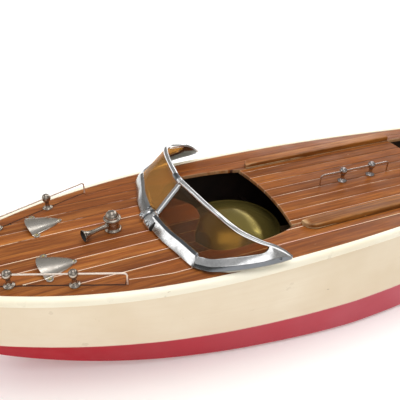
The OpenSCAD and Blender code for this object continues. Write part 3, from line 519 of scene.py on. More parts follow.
# ---------------------------------------------------------------- hull
def side_point(t, v, inset=0.0, rim=0.0, lift=0.0):
    xg, xc = mix(X0, X1, t), mix(X0, X1 - 4, t)
    gy, gz = half_beam(xg) - rim, edge_z(xg) - 3.1
    cy, cz = chine_y(xc) - inset, chine_z(xc) + lift
    return (mix(xg, xc, v), max(0.3, mix(gy, cy, v) + 4.4 * v * (1 - v)), mix(gz, cz, v))


def floor_point(t, w, inset=0.0, lift=0.0):
    xc, xk = mix(X0, X1 - 4, t), mix(X0, X1 - 6, t)
    cy, cz, kz, fl = chine_y(xc) - inset, chine_z(xc) + lift, keel_z(xk) + lift, flat_part(xc)
    return (mix(xc, xk, w), cy * (1 - w), kz + (cz - kz) * max(0, (1 - w - fl) / (1 - fl)) ** 1.5)


def paint_v(t):
    lo, hi = 0.0, 1.0
    for _ in range(40):
        mid = (lo + hi) / 2
        p = side_point(t, mid)
        lo, hi = (mid, hi) if p[2] > paint_z(p[0]) else (lo, mid)
    return lo


def hull_half(t, inner):
    vp = paint_v(t)
    vs = [vp * k / 12 for k in range(13)] + [vp + (1 - vp) * k for k in (0.03, 0.2, 0.4, 0.6, 0.8, 0.93, 1.0)]
    ws = [0.012, 0.04, 0.1, 0.18, 0.27, 0.36, 0.45, 0.54, 0.63, 0.72, 0.81, 0.9, 0.96, 1.0]
    if inner:
        return [side_point(t, v, 2.4, 6, 2.8) for v in vs] + [floor_point(t, w, 2.4, 2.8) for w in ws]
    pts = []
    for p in [side_point(t, v) for v in vs] + [floor_point(t, w) for w in ws]:
        q = Vector(p) * 0.02
        d = 0.16 * noise.noise(q) + 0.05 * noise.noise(q * 4.1)
        pts.append((p[0], max(0.0, p[1] + (d if p[1] > 3 else 0)), max(0.0, p[2])))
    return pts


def hull():
    n = 150
    ts = [along(i / n) for i in range(n + 1)]
    outer, inner = [], []
    for t in ts:
        h = [(bow_back(x), y, z) for x, y, z in hull_half(t, False)]
        outer.append(h + [(x, -y, z) for x, y, z in reversed(h[:-1])])
        h = hull_half(0.004 + 0.978 * t, True)
        inner.append(h + [(x, -y, z) for x, y, z in reversed(h[:-1])])
    end = outer[-1]
    for a in (30, 60, 85):
        a = math.radians(a)
        outer.append([(x + 0.9 * math.sin(a), y * math.cos(a), z) for x, y, z in end])
        inner.append(inner[-1])
    inner = inner[:n + 1]
    m, K = len(outer[0]), (len(outer[0]) - 1) // 2
    v = [p for r in outer for p in r]
    o, no, ni = len(v), len(outer), len(inner)
    v += [p for r in inner for p in r]
    f, fm = [], []

    def kind(j):
        j = min(j, m - 2 - j)
        return 0 if j < 12 else 2 if j == 12 else 1

    for i in range(no - 1):
        for j in range(m - 1):
            f.append((i * m + j, i * m + j + 1, (i + 1) * m + j + 1, (i + 1) * m + j))
            fm.append(kind(j))
    for i in range(ni - 1):
        for j in range(m - 1):
            f.append((o + i * m + j, o + (i + 1) * m + j, o + (i + 1) * m + j + 1, o + i * m + j + 1))
            fm.append(3)
    for i in range(ni - 1):
        f.append((i * m, (i + 1) * m, o + (i + 1) * m, o + i * m))
        f.append((o + i * m + m - 1, o + (i + 1) * m + m - 1, (i + 1) * m + m - 1, i * m + m - 1))
        fm += [4, 4]
    bo, bi = (no - 1) * m, o + (ni - 1) * m
    for base, turn in ((0, 1), (o, -1), (bo, -1), (bi, 1)):
        for j in range(K):
            q = [base + j, base + m - 1 - j, base + m - 2 - j, base + j + 1]
            q = [x for i, x in enumerate(q) if x not in q[:i]]
            f.append(tuple(q[::turn]))
            fm.append(kind(j) if base in (0, bo) else 3)
    f.append((0, o, o + m - 1, m - 1))
    fm.append(4)
    ring = [i * m for i in range(ni - 1, no)]
    f.append(tuple([bi] + ring + [i + m - 1 for i in reversed(ring)] + [bi + m - 1]))
    fm.append(4)
    return make("hull_skin", v, f, [CREAM, RED, LINE, INSIDE, PLY], fm, angle=50,
                stands=("hull_bottom", "hull_side_port", "hull_side_starboard"), slot="cream_paint")


hull()


# gunwale moulding, one band round the bow
def gunwale():
    prof = [(0.3, -6.0), (1.2, -6.0), (1.9, -5.4), (2.45, -4.5), (2.75, -3.3), (2.8, -2.2), (2.6, -1.1), (2.15, -0.25),
            (1.45, 0.35), (0.6, 0.68), (-0.4, 0.78), (-1.4, 0.75), (-2.1, 0.66), (-2.4, 0.35), (-2.4, -2.6), (0.3, -2.9)]
    xs = [mix(-357.4, 351.8, along(i / 130)) for i in range(131)]
    path = []
    for x in xs:
        s = (half_beam(x + 0.05) - half_beam(x - 0.05)) / 0.1
        k = math.hypot(1, s)
        path.append((x, half_beam(x), -s / k, 1 / k))
    x, y, nx, ny = path[-1]
    r = y / ny
    cx = x - r * nx
    a1 = math.atan2(ny, nx)
    grow = min(r, 359.9 - 2.8 - cx)
    for k in range(1, 13):
        a = a1 * (1 - k / 12)
        rr = mix(r, grow, smooth(k / 12))
        path.append((cx + rr * math.cos(a), rr * math.sin(a), math.cos(a), math.sin(a)))
    full = path + [(x, -y, nx, -ny) for x, y, nx, ny in reversed(path[:-1])]
    rings = []
    for x, y, nx, ny in full:
        z = deck_z(x, y)
        rings.append([(min(359.9, x + nx * a), y + ny * a, z + b) for a, b in prof])
    v, f = loft(rings)
    make("gunwale", v, f, [RAIL_CREAM_PAINTED_HIGHLIGHT], angle=60, stands=("gunwale_port", "gunwale_starboard"), slot="cream_paint")


gunwale()


# ---------------------------------------------------------------- planking
FRONT, LOBE, LOBE_Y = 132.0, 17.0, 40.0
HALF = [(-198, 28), (-197.6, 31.4), (-196, 35.5), (-192, 40), (-184.6, 42.9), (-140, 45), (-93.7, 46), (0, 46), (60, 46), (66, 46.15), (72, 47.5), (86, 51.5),
        (99, 53.5), (115, 54.8), (125, 55.1), (134, 53.8), (140, 51), (145, 47), (148, 43), (149, 40)]


def through(pts, x):
    """Smooth curve through points of rising x."""
    n = len(pts) - 1
    i = max(k for k in range(n) if pts[k][0] <= x or k == 0)
    (a, b), (c, d) = pts[i], pts[i + 1]
    t = min(1.0, max(0.0, (x - a) / (c - a)))
    sl = [(pts[k + 1][1] - pts[k][1]) / (pts[k + 1][0] - pts[k][0]) for k in (max(0, i - 1), i, min(n - 1, i + 1))]
    m0 = 0 if sl[0] * sl[1] <= 0 else 2 * sl[0] * sl[1] / (sl[0] + sl[1])
    m1 = 0 if sl[1] * sl[2] <= 0 else 2 * sl[1] * sl[2] / (sl[1] + sl[2])
    w = c - a
    return (2 * t ** 3 - 3 * t * t + 1) * b + (t ** 3 - 2 * t * t + t) * w * m0 + (3 * t * t - 2 * t ** 3) * d + (t ** 3 - t * t) * w * m1


def opening(x):
    """Half width of the hole in the deck at x, or 0."""
    if x < -198 or x > FRONT + LOBE:
        return 0.0
    return through(HALF, x)


def front_edge(y):
    """Where the foredeck starts behind the windscreen: a tongue in the middle, a round corner on each side."""
    y = abs(y)
    if y <= LOBE_Y:
        return FRONT + LOBE * smooth((y - 2) / 36)
    lo, hi = 125.0, FRONT + LOBE
    for _ in range(40):
        mid = (lo + hi) / 2
        lo, hi = (mid, hi) if opening(mid) > y else (lo, mid)
    return lo


def plank_ring(x, a, b, top, thick, crown, wear_a, wear_b, xmap=None, edge=0.32):
    """Cross-section of one plank from y = a to y = b, with eased top edges."""
    w = b - a
    e = min(edge, w * 0.3)
    ys = [(a, -thick), (a, -e), (a + 0.3 * e, -0.3 * e), (a + e, 0), (a + e + 0.15 * (w - 2 * e), 0.6 * crown),
          (a + w * 0.5, crown), (b - e - 0.15 * (w - 2 * e), 0.6 * crown), (b - e, 0), (b - 0.3 * e, -0.3 * e), (b, -e), (b, -thick)]
    ring = []
    for y, z in ys:
        xx = xmap(x, y) if xmap else x
        ring.append((xx, y, deck_z(xx, y) + top + z))
    wear = [wear_a, wear_a, wear_a, wear_a * 0.6, 0, 0, 0, wear_b * 0.6, wear_b, wear_b, wear_b]
    return ring, wear


def fore_aft(parts, y0, y1, xs, mat, pid, top=0.0, thick=3.0, crown=0.05, edge=0.32):
    """A plank on one side of the middle line, cut by the opening and by the deck edge."""
    rows, wears = [], []

    def close():
        if len(rows) > 1:
            v, f = loft(rows)
            parts.add(v, f, mat, plank=pid, wear=[q for w in wears for q in w])
        rows.clear()
        wears.clear()

    inside = y1 < 50.5
    for x in xs:
        if inside and -198 < x < 166 and (x > FRONT or opening(x) > y1 - 0.25):
            close()
            continue
        if inside and x >= 166 and not rows:
            # from the slanting edge behind the windscreen to a square section
            for a in (0, 0.004, 0.012, 0.03, 0.07, 0.15, 0.27, 0.4, 0.55, 0.7, 0.85, 1):
                ring, wear = plank_ring(a, y0, y1, top, thick, crown, 0, 0, lambda a, y: mix(front_edge(y), 166.0, a), edge)
                worn = 0.55 if a < 0.01 else 0
                rows.append(ring)
                wears.append([max(worn, q) for q in wear])
            if x == 166:
                continue
        o = opening(x) if x < FRONT or not inside else 0.0
        a, b = max(y0, o), min(y1, margin(x) - 0.3)
        if b - a < 0.25:
            close()
            continue
        ring, wear = plank_ring(x, a, b, top, thick, crown, 0.4 if o > y0 else 0.0, 0.0, edge=edge)
        rows.append(ring)
        wears.append(wear)
    close()


def deck_edge(x):
    return half_beam(x) - 2.45 * (1 + 0.28 * smooth((x - 250) / 100))


def margin(x):
    """Joint between the planking and the covering board. Forward of x = 208.4 it follows the line under the foredeck
    rail wire, and there the dark strip is a painted shadow of the wire.
    """
    if x > 208.4:
        return min(62.2 - 0.3787 * (x - 208.4), deck_edge(x))
    return min(62.9 - 0.7 * smooth((x - 190) / 18), half_beam(x) - 14)


def joint_and_shadow_width(x):
    """Width of the seam gap; along the foredeck rails it widens into a painted shadow of the rail wire."""
    return 0.3 + 0.55 * smooth((x - 206) / 3)


def deck():
    seams = [11.5, 24.3, 37.0, 49.7]
    gap = 0.34
    xs = spread(-357.4, -199, 56) + [-198.02, -198 + 1e-6]
    xs += [-183 - 15 * math.cos(math.radians(a)) for a in range(8, 84, 8)]
    xs += spread(-184.5, 60, 88) + spread(61, 132, 60) + [133, 134, 135, 136, 137, 138, 139, 140, 140.8, 141.5, 142, 142.6, 143.5, 145, 147, 149, 151, 154, 157, 160, 163, 166]
    xs += spread(168, 358.4, 100)
    xs = sorted(set(xs))
    p = Parts()
    rnd = [R.random() for _ in range(40)]
    bounds = [0.0] + seams + [90.0]

    def board(q, lo, hi, xs, mat, pid, top, thick, edge):
        rows, wears = [], []
        for x in xs:
            if hi(x) - lo(x) > 0.3:
                ring, wear = plank_ring(x, lo(x), hi(x), top, thick, 0.04, 0, 0, edge=edge)
                rows.append(ring)
                wears += wear
        v, f = loft(rows)
        q.add(v, f, mat, plank=pid, wear=wears)

    for side in (1, -1):
        q = Parts()
        for k in range(1, len(bounds) - 1):
            fore_aft(q, bounds[k] + gap, bounds[k + 1] - gap, xs, 0, rnd[k + (0 if side > 0 else 12)])
        for s in seams:
            fore_aft(q, s - gap - 0.05, s + gap + 0.05, xs, 1, 0.5, top=-0.22, thick=2.6, crown=0.0, edge=0.1)
        board(q, lambda x: margin(x) + joint_and_shadow_width(x), deck_edge, xs, 0, 0.16 if side > 0 else 0.3, 0.0, 3.0, 0.32)
        aft, fore = [x for x in xs if x < 205] + [206.0], [206.0] + [x for x in xs if 206.5 < x < 352]
        board(q, lambda x: margin(x) - 0.36, lambda x: min(margin(x) + 0.36, deck_edge(x)), aft, 1, 0.5, -0.22, 2.6, 0.1)
        # forward of x = 206 the dark strip along this line is painted shadow of the foredeck rail wire
        board(q, lambda x: margin(x) - 0.42, lambda x: min(margin(x) + joint_and_shadow_width(x) + 0.12, deck_edge(x)), fore, 2, 0.5, -0.26, 2.5, 0.1)
        p.add([(x, side * y, z) for x, y, z in q.v], q.f, q.m, **q.attrs)
    # the wide plank on the middle line, fore and aft of the openings
    for lo, hi in ((-357.4, -198.0), (166.0, 358.4)):
        rows, wears = [], []
        if lo > 0:
            for a in (0, 0.004, 0.012, 0.03, 0.07, 0.15, 0.27, 0.4, 0.55, 0.7, 0.85):
                ring, wear = plank_ring(a, gap - 11.5, 11.5 - gap, 0, 3.0, 0.05, 0, 0, lambda a, y: mix(front_edge(y), 166.0, a))
                rows.append(ring)
                wears += [0.55 if a < 0.01 else 0] * len(ring)
        for x in [x for x in xs if lo <= x <= hi] + ([hi] if hi < 0 else []):
            w = min(11.5 - gap, margin(x) - 0.3)
            if w < 0.12:
                break
            ring, wear = plank_ring(x, -w, w, 0, 3.0, 0.05, 0, 0)
            rows.append(ring)
            wears += [0.5 if -198.3 < x < 0 else 0] * len(ring)
        v, f = loft(rows)
        p.add(v, f, 0, plank=rnd[30 + int(lo > 0)], wear=wears)
    p.make("deck_planks", [DECK, SEAM, SHADOW_LINE], angle=28, stands=("deck",), slot="mahogany")


deck()


def hatch():
    seams = [-40.6, -29.0, -17.4, -5.8, 5.8, 17.4, 29.0, 40.6]
    ends = [-45.6] + seams + [45.6]
    gap = 0.3
    p = Parts()

    def xmap(a, y):
        return mix(-94.7, 67.4 + 4.4 * (y / 45.6) ** 2, a)

    def strip(y0, y1, mat, pid, top, thick, crown, edge, wa=0.0, wb=0.0):
        rows, wears = [], []
        for a in [0, 0.002, 0.004] + spread(0.01, 0.985, 60) + [0.990, 0.9945, 0.9975, 0.9992, 1.0]:
            d = (1 - a) * 162
            e = min(d, a * 162)
            drop = -0.42 * (1 - min(1, e / 0.65)) ** 2
            ring, wear = plank_ring(a, y0, y1, top + drop, thick + drop, crown, wa, wb, xmap, edge)
            near = 0.22 if d < 0.5 else 0.08 if d < 1.0 else 0.4 if e < 0.4 else 0
            rows.append(ring)
            wears += [max(near, q) for q in wear]
        v, f = loft(rows)
        p.add(v, f, mat, plank=pid, wear=wears)

    for k in range(len(ends) - 1):
        y0 = ends[k] + (gap if k else 0)
        y1 = ends[k + 1] - (gap if k < len(ends) - 2 else 0)
        strip(y0, y1, 0, R.random(), 0.0, 3.0, 0.06, 0.30, 0.7 if k == 0 else 0.0, 0.7 if k == len(ends) - 2 else 0.0)
    for s in seams:
        strip(s - gap - 0.04, s + gap + 0.04, 1, 0.5, -0.24, 2.7, 0.0, 0.08)
    p.make("hatch_planks", [LID, LID_SEAM], body="hatch", angle=28, stands=("engine_hatch",), slot="mahogany")


hatch()


def rows_of(xs):
    for x in xs:
        lo, hi = 46.6 - 0.38, 56.8 + 0.42
        if x > 53:
            hi = mix(lo + 3.2, hi, math.sqrt(max(0, 1 - ((x - 53) / 11) ** 2)))
        yield [(x, lo, 0.0), (x, hi, 0.0), (x, hi - 0.05, 0.16), (x, lo + 0.05, 0.16)]


def coaming(side, name, node):
    """Strip beside the hatch with a rounded, worn front end."""
    h = 4.25
    xs = [-95.0, -94.7, -94.2] + spread(-93, 52, 60) + [64 - 11 * math.cos(math.radians(a)) for a in range(10, 91, 8)]
    rows, wears = [], []
    for x in xs:
        lo, hi = 46.6, 56.8
        if x > 53:
            k = math.sqrt(max(0, 1 - ((x - 53) / 11) ** 2))
            hi = mix(lo + 2.6, hi, k)
        low = h * (0.10 if x < -94.9 else 1) - 0.8 * smooth((x - 58) / 6)
        r = min(1.1, 0.6 * low)
        z1, z2 = min(0.8, mix(0.05, low - r, 0.4)), min(1.0, mix(0.05, low - r, 0.6))
        ys = [(lo, 0.05), (lo, z1), (lo, z2), (lo, low - r)]
        ys += [(lo + r - r * math.cos(math.radians(a)), low - r + r * math.sin(math.radians(a))) for a in (22, 45, 68, 90)]
        ys += [(mix(lo + r, hi - r, k), low + 0.12 * math.sin(math.pi * k)) for k in (0.25, 0.5, 0.75)]
        ys += [(hi - r + r * math.cos(math.radians(a)), low - r + r * math.sin(math.radians(a))) for a in (90, 68, 45, 22)]
        ys += [(hi, low - r), (hi, z2), (hi, z1), (hi, 0.05)]
        rows.append([(x, side * y, deck_z(x, y) + max(z, 0.05)) for y, z in ys])
        tip = smooth((x - 48) / 12)
        w = [0.0, 0.05, 0.15, 0.4, 0.25, 0.05, 0, 0, 0, 0.05, 0.2, 0.4, 0.2, 0.05, 0.0]
        # rubbed foot: towards the hatch on one strip, away from it on the other
        foot_in, foot_out = (0.0, smooth((x - 35) / 12)) if side > 0 else (smooth(x / 15), 0.0)
        wears += [foot_in] * 2
        wears += [max(q * (0.4 + 0.6 * tip), (0.8 if side > 0 else 0.25) * smooth((x - 59) / 5)) for q in w]
        wears += [foot_out] * 2
    v, f = loft(rows)
    p = Parts().add(v, f, 0, plank=R.random(), wear=wears)
    # dark line along the foot: painted shadow under the strip's edges
    rows = []
    for r in rows_of(xs):
        rows.append([(x, side * y, deck_z(x, y) + z) for x, y, z in r])
    v, f = loft(rows)
    p.add(v, f, 1, plank=0.5, wear=[0.0] * len(v))
    p.make(name, [STRIP, SHADOW_LINE], angle=40, stands=(node,), slot="mahogany")


coaming(1, "coaming_port", "strip_port")
coaming(-1, "coaming_starboard", "strip_starboard")


def transom():
    half = [(side_point(0, v)[1], side_point(0, v)[2]) for v in spread(0, 1, 8)]
    half += [(floor_point(0, w)[1], floor_point(0, w)[2]) for w in spread(0.05, 1, 12)]
    b, ez = half_beam(X0), edge_z(X0)
    top = [(y, min(deck_z(X0, y), ez + 3) + 0.35) for y in spread(-b - 2.1, b + 2.1, 24)]
    out = [(b + 2.1, ez - 3)] + half + [(-y, z) for y, z in reversed(half[:-1])] + [(-b - 2.1, ez - 3)] + top
    cy, cz = 0, 72
    rows = []
    for x, k in ((-357.6, 0), (-359.3, 0), (-359.75, 0.25), (-359.98, 0.75)):
        ring = []
        for y, z in out:
            d = math.hypot(y - cy, z - cz)
            ring.append((x, y - (y - cy) / d * k, z - (z - cz) / d * k))
        rows.append(ring)
    v, f = loft(rows)
    Parts().add(v, f, 0, plank=0.35, wear=[0.0] * (len(out) * 2) + [0.3] * len(out) + [0.2] * len(out)).make(
        "transom", [END], angle=40, stands=("transom_board",), slot="mahogany")


transom()

# ---------------------------------------------------------------- windscreen
LOW = [(176, 0, 99.8), (172.5, 27, 99.3), (167.5, 45, 98.8), (163, 61.5, 97.9), (158.5, 68, 97.9), (152, 74, 98.5), (140, 79.2, 99.8), (127.5, 82.8, 100.5), (113, 85.2, 100.9), (97, 86, 101.2)]
TOP = [(146, 0, 133), (143.5, 22, 133), (140.5, 40, 132), (137, 52, 130.3), (132.5, 61.5, 127), (126.5, 69, 122.8), (116, 77, 117.4), (108, 80.5, 113.9), (101, 82.8, 109), (95.5, 84.6, 103.6)]


def curve(p, t):
    n = len(p) - 1
    q = min(t * n, n - 0.0001)
    i = int(q)
    f = q - i
    a, b, c, d = (Vector(p[min(n, max(0, i + k))]) for k in (-1, 0, 1, 2))
    return 0.5 * (2 * b + (c - a) * f + (2 * a - 5 * b + 4 * c - d) * f * f + (3 * b - a - 3 * c + d) * f ** 3)


def ws_len(s):
    return (curve(TOP, s) - curve(LOW, s)).length


def ws(s, f):
    return curve(LOW, s).lerp(curve(TOP, s), f)


def ws_n(s):
    a = curve(LOW, min(1, s + 0.01)) - curve(LOW, max(0, s - 0.01))
    return a.cross(curve(TOP, s) - curve(LOW, s)).normalized()


def ws_frame(s):
    """Low point, direction along the bar, outward direction, and upward direction square to the bar."""
    a = (curve(LOW, min(1, s + 0.006)) - curve(LOW, max(0, s - 0.006))).normalized()
    n = ws_n(s)
    return curve(LOW, s), a, n, n.cross(a).normalized()


TOPS = [curve(TOP, k / 500) for k in range(501)]


def top_w(s):
    """Width of the screen square to its lower bar."""
    c, a, n, u = ws_frame(s)
    for p, q in zip(TOPS, TOPS[1:]):
        d0, d1 = (p - c).dot(a), (q - c).dot(a)
        if d0 <= 0 <= d1 and d1 > d0:
            return (p.lerp(q, -d0 / (d1 - d0)) - c).dot(u)
    return ws_len(s)


def bar_w(s):
    return mix(11.1, 9.2, smooth((s - 0.31) / 0.1))


def recess(s):
    """The glass stands back from the bar's face towards the middle."""
    return -4.6 * (1 - smooth(s / 0.28))


def windscreen(side, tag, glass):
    def flip(p):
        return (p[0], side * p[1], p[2])

    p = Parts()
    # lower bar: two facets with a ridge between them, which runs out into a solid tip
    front = soften([(-1.5, -0.9), (1.8, 0.9), (2.1, 8.8), (0.8, 11.1), (-1.5, 11.1)], 0.32, 3)
    wing = soften([(-1.5, -1.2), (1.2, 0.6), (2.2, 4.1), (0.7, 9.2), (-1.5, 9.2)], 0.30, 3)
    ss = spread(0.036, 0.30, 24) + spread(0.306, 0.44, 34)[1:] + spread(0.45, 1.0, 70)
    s_end = next(s for s in ss if s > 0.45 and top_w(s) < bar_w(s) + 7.0)
    rows = []
    for s in ss:
        c, a, n, u = ws_frame(s)
        k = smooth((s - 0.335) / 0.045)
        full, wt = bar_w(s), top_w(s)
        ridge = mix(8.8, 4.1, k)
        lid = full
        if s >= s_end:
            lid = wt - 0.7
        elif s > s_end - 0.05:
            q = (s - s_end + 0.05) / 0.05
            lid = mix(full, max(full, wt - 0.7), 1 - math.sqrt(max(0, 1 - q ** 2.2)))
        rd = min(ridge, mix(0.81, 0.42, k) * lid)
        thin = mix(0.72, 1.0, min(1, lid / 8))
        row = []
        for (t0, w0), (t1, w1) in zip(front, wing):
            t, w = mix(t0, t1, k), mix(w0, w1, k)
            if t0 < 0:
                t += recess(s)
                w -= 0.95 * recess(s) if w0 < 3 else 0
            w = w * min(1, rd / ridge) if w < ridge else rd + (w - ridge) / (full - ridge) * (lid - rd)
            row.append(flip(c + n * t * thin + u * w))
        rows.append(row)
    v, f = loft(rows)
    m = len(front)
    # each facet of the lower bar is painted bright or dark as painted reflection, differently on the two sides; its
    # back faces are painted dark
    wear = []
    for q in ss:
        low = max(smooth((q - 0.325) / 0.06), 0.0 if side > 0 else 0.5)
        high = (1 - smooth((q - 0.338) / 0.04)) * (1.0 if side > 0 else 0.5)
        wear += [1.0 if j > 16 or j < 3 else low if 4 <= j <= 9 else high if 10 <= j <= 13 else 0.0 for j in range(m)]
    p.add(v, f, 4, wear=wear)
    # round top rail
    rows = []
    for s in [0.0] + spread(0.011, 1.0, 100):
        n = ws_n(max(s, 0.004))
        if s == 0:
            n = Vector((n.x, 0, n.z)).normalized()
        up = (curve(TOP, s) - curve(LOW, s)).normalized()
        r = mix(1.9, 1.35, smooth((s - 0.5) / 0.5))
        c = curve(TOP, s) - up * r
        rows.append([flip(c + r * (math.cos(2 * math.pi * k / 18) * up + math.sin(2 * math.pi * k / 18) * n)) for k in range(18)])
    v, f = loft(rows)
    p.add(v, f, 3)
    # small screw near the tip
    c, a, n, u = ws_frame(0.935)
    q = n.to_track_quat("Z", "Y").to_matrix().to_4x4()
    v, f = lathe([(0, 1.86), (0.5, 1.86), (0.58, 2.16), (1.0, 2.16), (1.15, 1.98), (1.15, 1.2), (0, 1.2)], 20)
    # the screw's recessed centre is painted dark: painted shade
    mats = [2 if k < 20 else 1 for k in range(len(f))]
    p.add([flip(c + u * 3.35 + q @ Vector(x)) for x in v], f, mats)
    p.make("windscreen_" + tag, [CHROME, DULL_CHROME, PAINTED_HOLE_SHADE, POLISH, BAR_PAINTED_REFLECTION], angle=32, stands=("windscreen_frame_" + tag,), slot="bright_chrome")

    def foot_h(s):
        c, a, n, u = ws_frame(s)
        return (bar_w(s) - 1.2) / max(0.4, (curve(TOP, s) - curve(LOW, s)).normalized().dot(u))

    def sheet(s, g, t):
        back = recess(s) * (1 - 0.6 * smooth((g - 0.75) / 0.25))
        return flip(ws(s, mix(foot_h(s) / ws_len(s), 1 - 1.2 / ws_len(s), g)) + (t + back) * ws_n(s))

    ss = [s for s in spread(0.027, 0.86, 86) if foot_h(s) < ws_len(s) - 2.0]
    up = [[sheet(s, g, 0.35) for g in spread(0, 1, 14)] for s in ss]
    dn = [[sheet(s, g, -0.35) for g in spread(0, 1, 14)] for s in ss]
    rings = [a + b[::-1] for a, b in zip(up, dn)]
    m = len(rings[0])
    v = [q for r in rings for q in r]
    f = [(i * m + j, (i + 1) * m + j, (i + 1) * m + (j + 1) % m, i * m + (j + 1) % m) for i in range(len(rings) - 1) for j in range(m)]
    for b in (0, (len(rings) - 1) * m):
        f += [(b + j, b + j + 1, b + m - 2 - j, b + m - 1 - j) for j in range(m // 2 - 1)]
    make("pane_" + tag, v, f, [glass], angle=40, stands=("windscreen_pane_" + tag,), slot="amber_pane")


windscreen(1, "port", PANE_NEAR_PAINTED_SHADE)
windscreen(-1, "starboard", PANE_FAR_PAINTED_LIGHT)


def post():
    p = Parts()
    up = (curve(TOP, 0) - curve(LOW, 0)).normalized()
    out = Vector((up.z, 0, -up.x))
    base, L = curve(LOW, 0), ws_len(0)

    def spot(h, t, y=0.0):
        return base + up * h + out * t + Vector((0, y, 0))

    # saddle that clamps the two lower bars: a block on each side of a lower middle
    sec = soften([(-6.0, 1.0), (1.2, -0.6), (3.2, 0.2), (3.7, 3.2), (2.6, 7.6), (0.6, 9.9), (-2.6, 10.6), (-6.0, 9.4)], 0.7, 4)
    for ys in ((-6.3, -6.0, -5.4, -4.6, -3.4, -1.9, -1.35, -1.1), (1.1, 1.35, 1.9, 4.5, 8.5, 11.2, 12.2, 12.6)):
        rows = []
        for n, y in enumerate(ys):
            k = (0.80, 0.92, 0.99, 1.0, 1.0, 0.99, 0.92, 0.80)[n]
            c = min((curve(LOW, q / 2500) for q in range(300)), key=lambda q: abs(q.y - abs(y)))
            rows.append([tuple(Vector((c.x, y, c.z)) + up * (4.4 + (h - 5.0) * k) + out * (-1.2 + (t + 1.2) * k)) for t, h in sec])
        v, f = loft(rows)
        p.add(v, f, 0)
    # painted shade: a dark band in the gap between the saddle and the near bar
    rows = []
    for y in (12.3, 13.5):
        c = min((curve(LOW, q / 2500) for q in range(300)), key=lambda q: abs(q.y - y))
        rows.append([tuple(Vector((c.x, y, c.z)) + up * (4.4 + (h - 5.0) * 0.96) + out * (-1.2 + (t + 1.2) * 0.90)) for t, h in sec])
    v, f = loft(rows)
    p.add(v, f, 2)
    core = soften([(-5.4, 1.6), (1.9, 0.4), (2.4, 3.2), (1.4, 7.0), (-0.4, 8.9), (-5.4, 8.6)], 0.6, 3)
    v, f = loft([[tuple(spot(h, t, y)) for t, h in core] for y in (-1.7, 1.7)])
    p.add(v, f, 1)
    # knuckle across the top of the saddle
    v, f = tube([spot(9.6, -1.5, y) for y in (-5.6, -5.4, -4.9, -1.9, -1.6, 1.6, 1.9, 9.3, 9.8, 10.0)], [1.5, 2.0, 2.25, 2.25, 1.7, 1.7, 2.25, 2.25, 2.0, 1.5], 26)
    p.add(v, f, [1 if 26 * 3 <= k < 26 * 6 else 3 for k in range(len(f))])
    # strut behind the glass, with a round foot, bent to the top rail
    flat = soften([(-3.2, -1.25), (3.2, -1.25), (3.2, 0.4), (1.6, 1.35), (-1.6, 1.35), (-3.2, 0.4)], 0.35, 3)
    path = [(h, -4.5, 1.0) for h in (7.5, 12, 16, 20, 24, 28, 32, 36, L - 5.5)]
    path += [(L - 3.9, -4.1, 1.0), (L - 2.8, -3.2, 1.02), (L - 2.2, -1.9, 1.05), (L - 2.0, -0.4, 1.05)]
    rows = []
    for k, (h, t, q) in enumerate(path):
        a, b = path[max(0, k - 1)], path[min(len(path) - 1, k + 1)]
        go = (spot(b[0], b[1]) - spot(a[0], a[1])).normalized()
        face = Vector((0, 1, 0)).cross(go).normalized()
        face = face if face.dot(out) + face.dot(up) > 0 else -face
        rows.append([tuple(spot(h, t) + Vector((0, y * q, 0)) + face * z * q) for y, z in flat])
    v, f = loft(rows)
    p.add(v, f, 0)
    v, f = tube([spot(h, -4.2) for h in (7.0, 8.2, 9.2, 10.2, 11.2, 12.0, 12.4)], [1.9, 2.5, 2.75, 2.75, 2.5, 1.9, 1.2], 26)
    p.add(v, f, 0)
    # sleeve over the joint of the two top rails
    v, f = tube([spot(L - 1.9, 0, y) for y in (-6.2, -6.0, -5.6, -2.6, -2.4, 2.4, 2.6, 5.6, 6.0, 6.2)], [1.9, 2.2, 2.3, 2.3, 2.4, 2.4, 2.3, 2.3, 2.2, 1.9], 24)
    p.add(v, f, [1 if 48 <= k < 144 else 0 for k in range(len(f))])
    # two clamping screws on the saddle's face
    q = out.to_track_quat("Z", "Y").to_matrix().to_4x4()
    for y in (-4.2, 9.2):
        place = Matrix.Translation(Vector((-0.1 * abs(y), 0, 0)) + spot(2.0, 3.2, y)) @ q @ Matrix.Rotation(0.6 * y, 4, "Z")
        v, f = lathe([(0, 0), (2.1, 0), (2.25, 0.3), (2.2, 0.9), (1.7, 1.35), (0.9, 1.55), (0, 1.6)], 26)
        p.add(v, f, 0, place)
        # the screw slots are dark bars laid on the heads: painted shade
        v, f = loft([[(a, b, z) for a, b in ((-1.9, -0.24), (1.9, -0.24), (1.9, 0.24), (-1.9, 0.24))] for z in (1.2, 1.63)])
        p.add(v, f, 2, place)
    p.make("windscreen_clamp", [CHROME, DULL_CHROME, PAINTED_HOLE_SHADE, POLISH], angle=38, stands=("windscreen_post",), slot="bright_chrome")


post()


# ---------------------------------------------------------------- deck fittings
def vent_at(p, q):
    return (236.0 + 22.0 * p + 3.4 * p * p * (1 - q * q), 27.0 - 0.9 * p + 12.3 * p ** 0.54 * q)


def vent_rise(p, q):
    return 5.0 * p ** 0.62 * max(0, 1 - (abs(q) / 0.94) ** 2.2) ** 0.62


EARS = ((236.7, 27.1, 2.3), (255.2, 39.2, 2.5), (255.2, 13.5, 2.5))


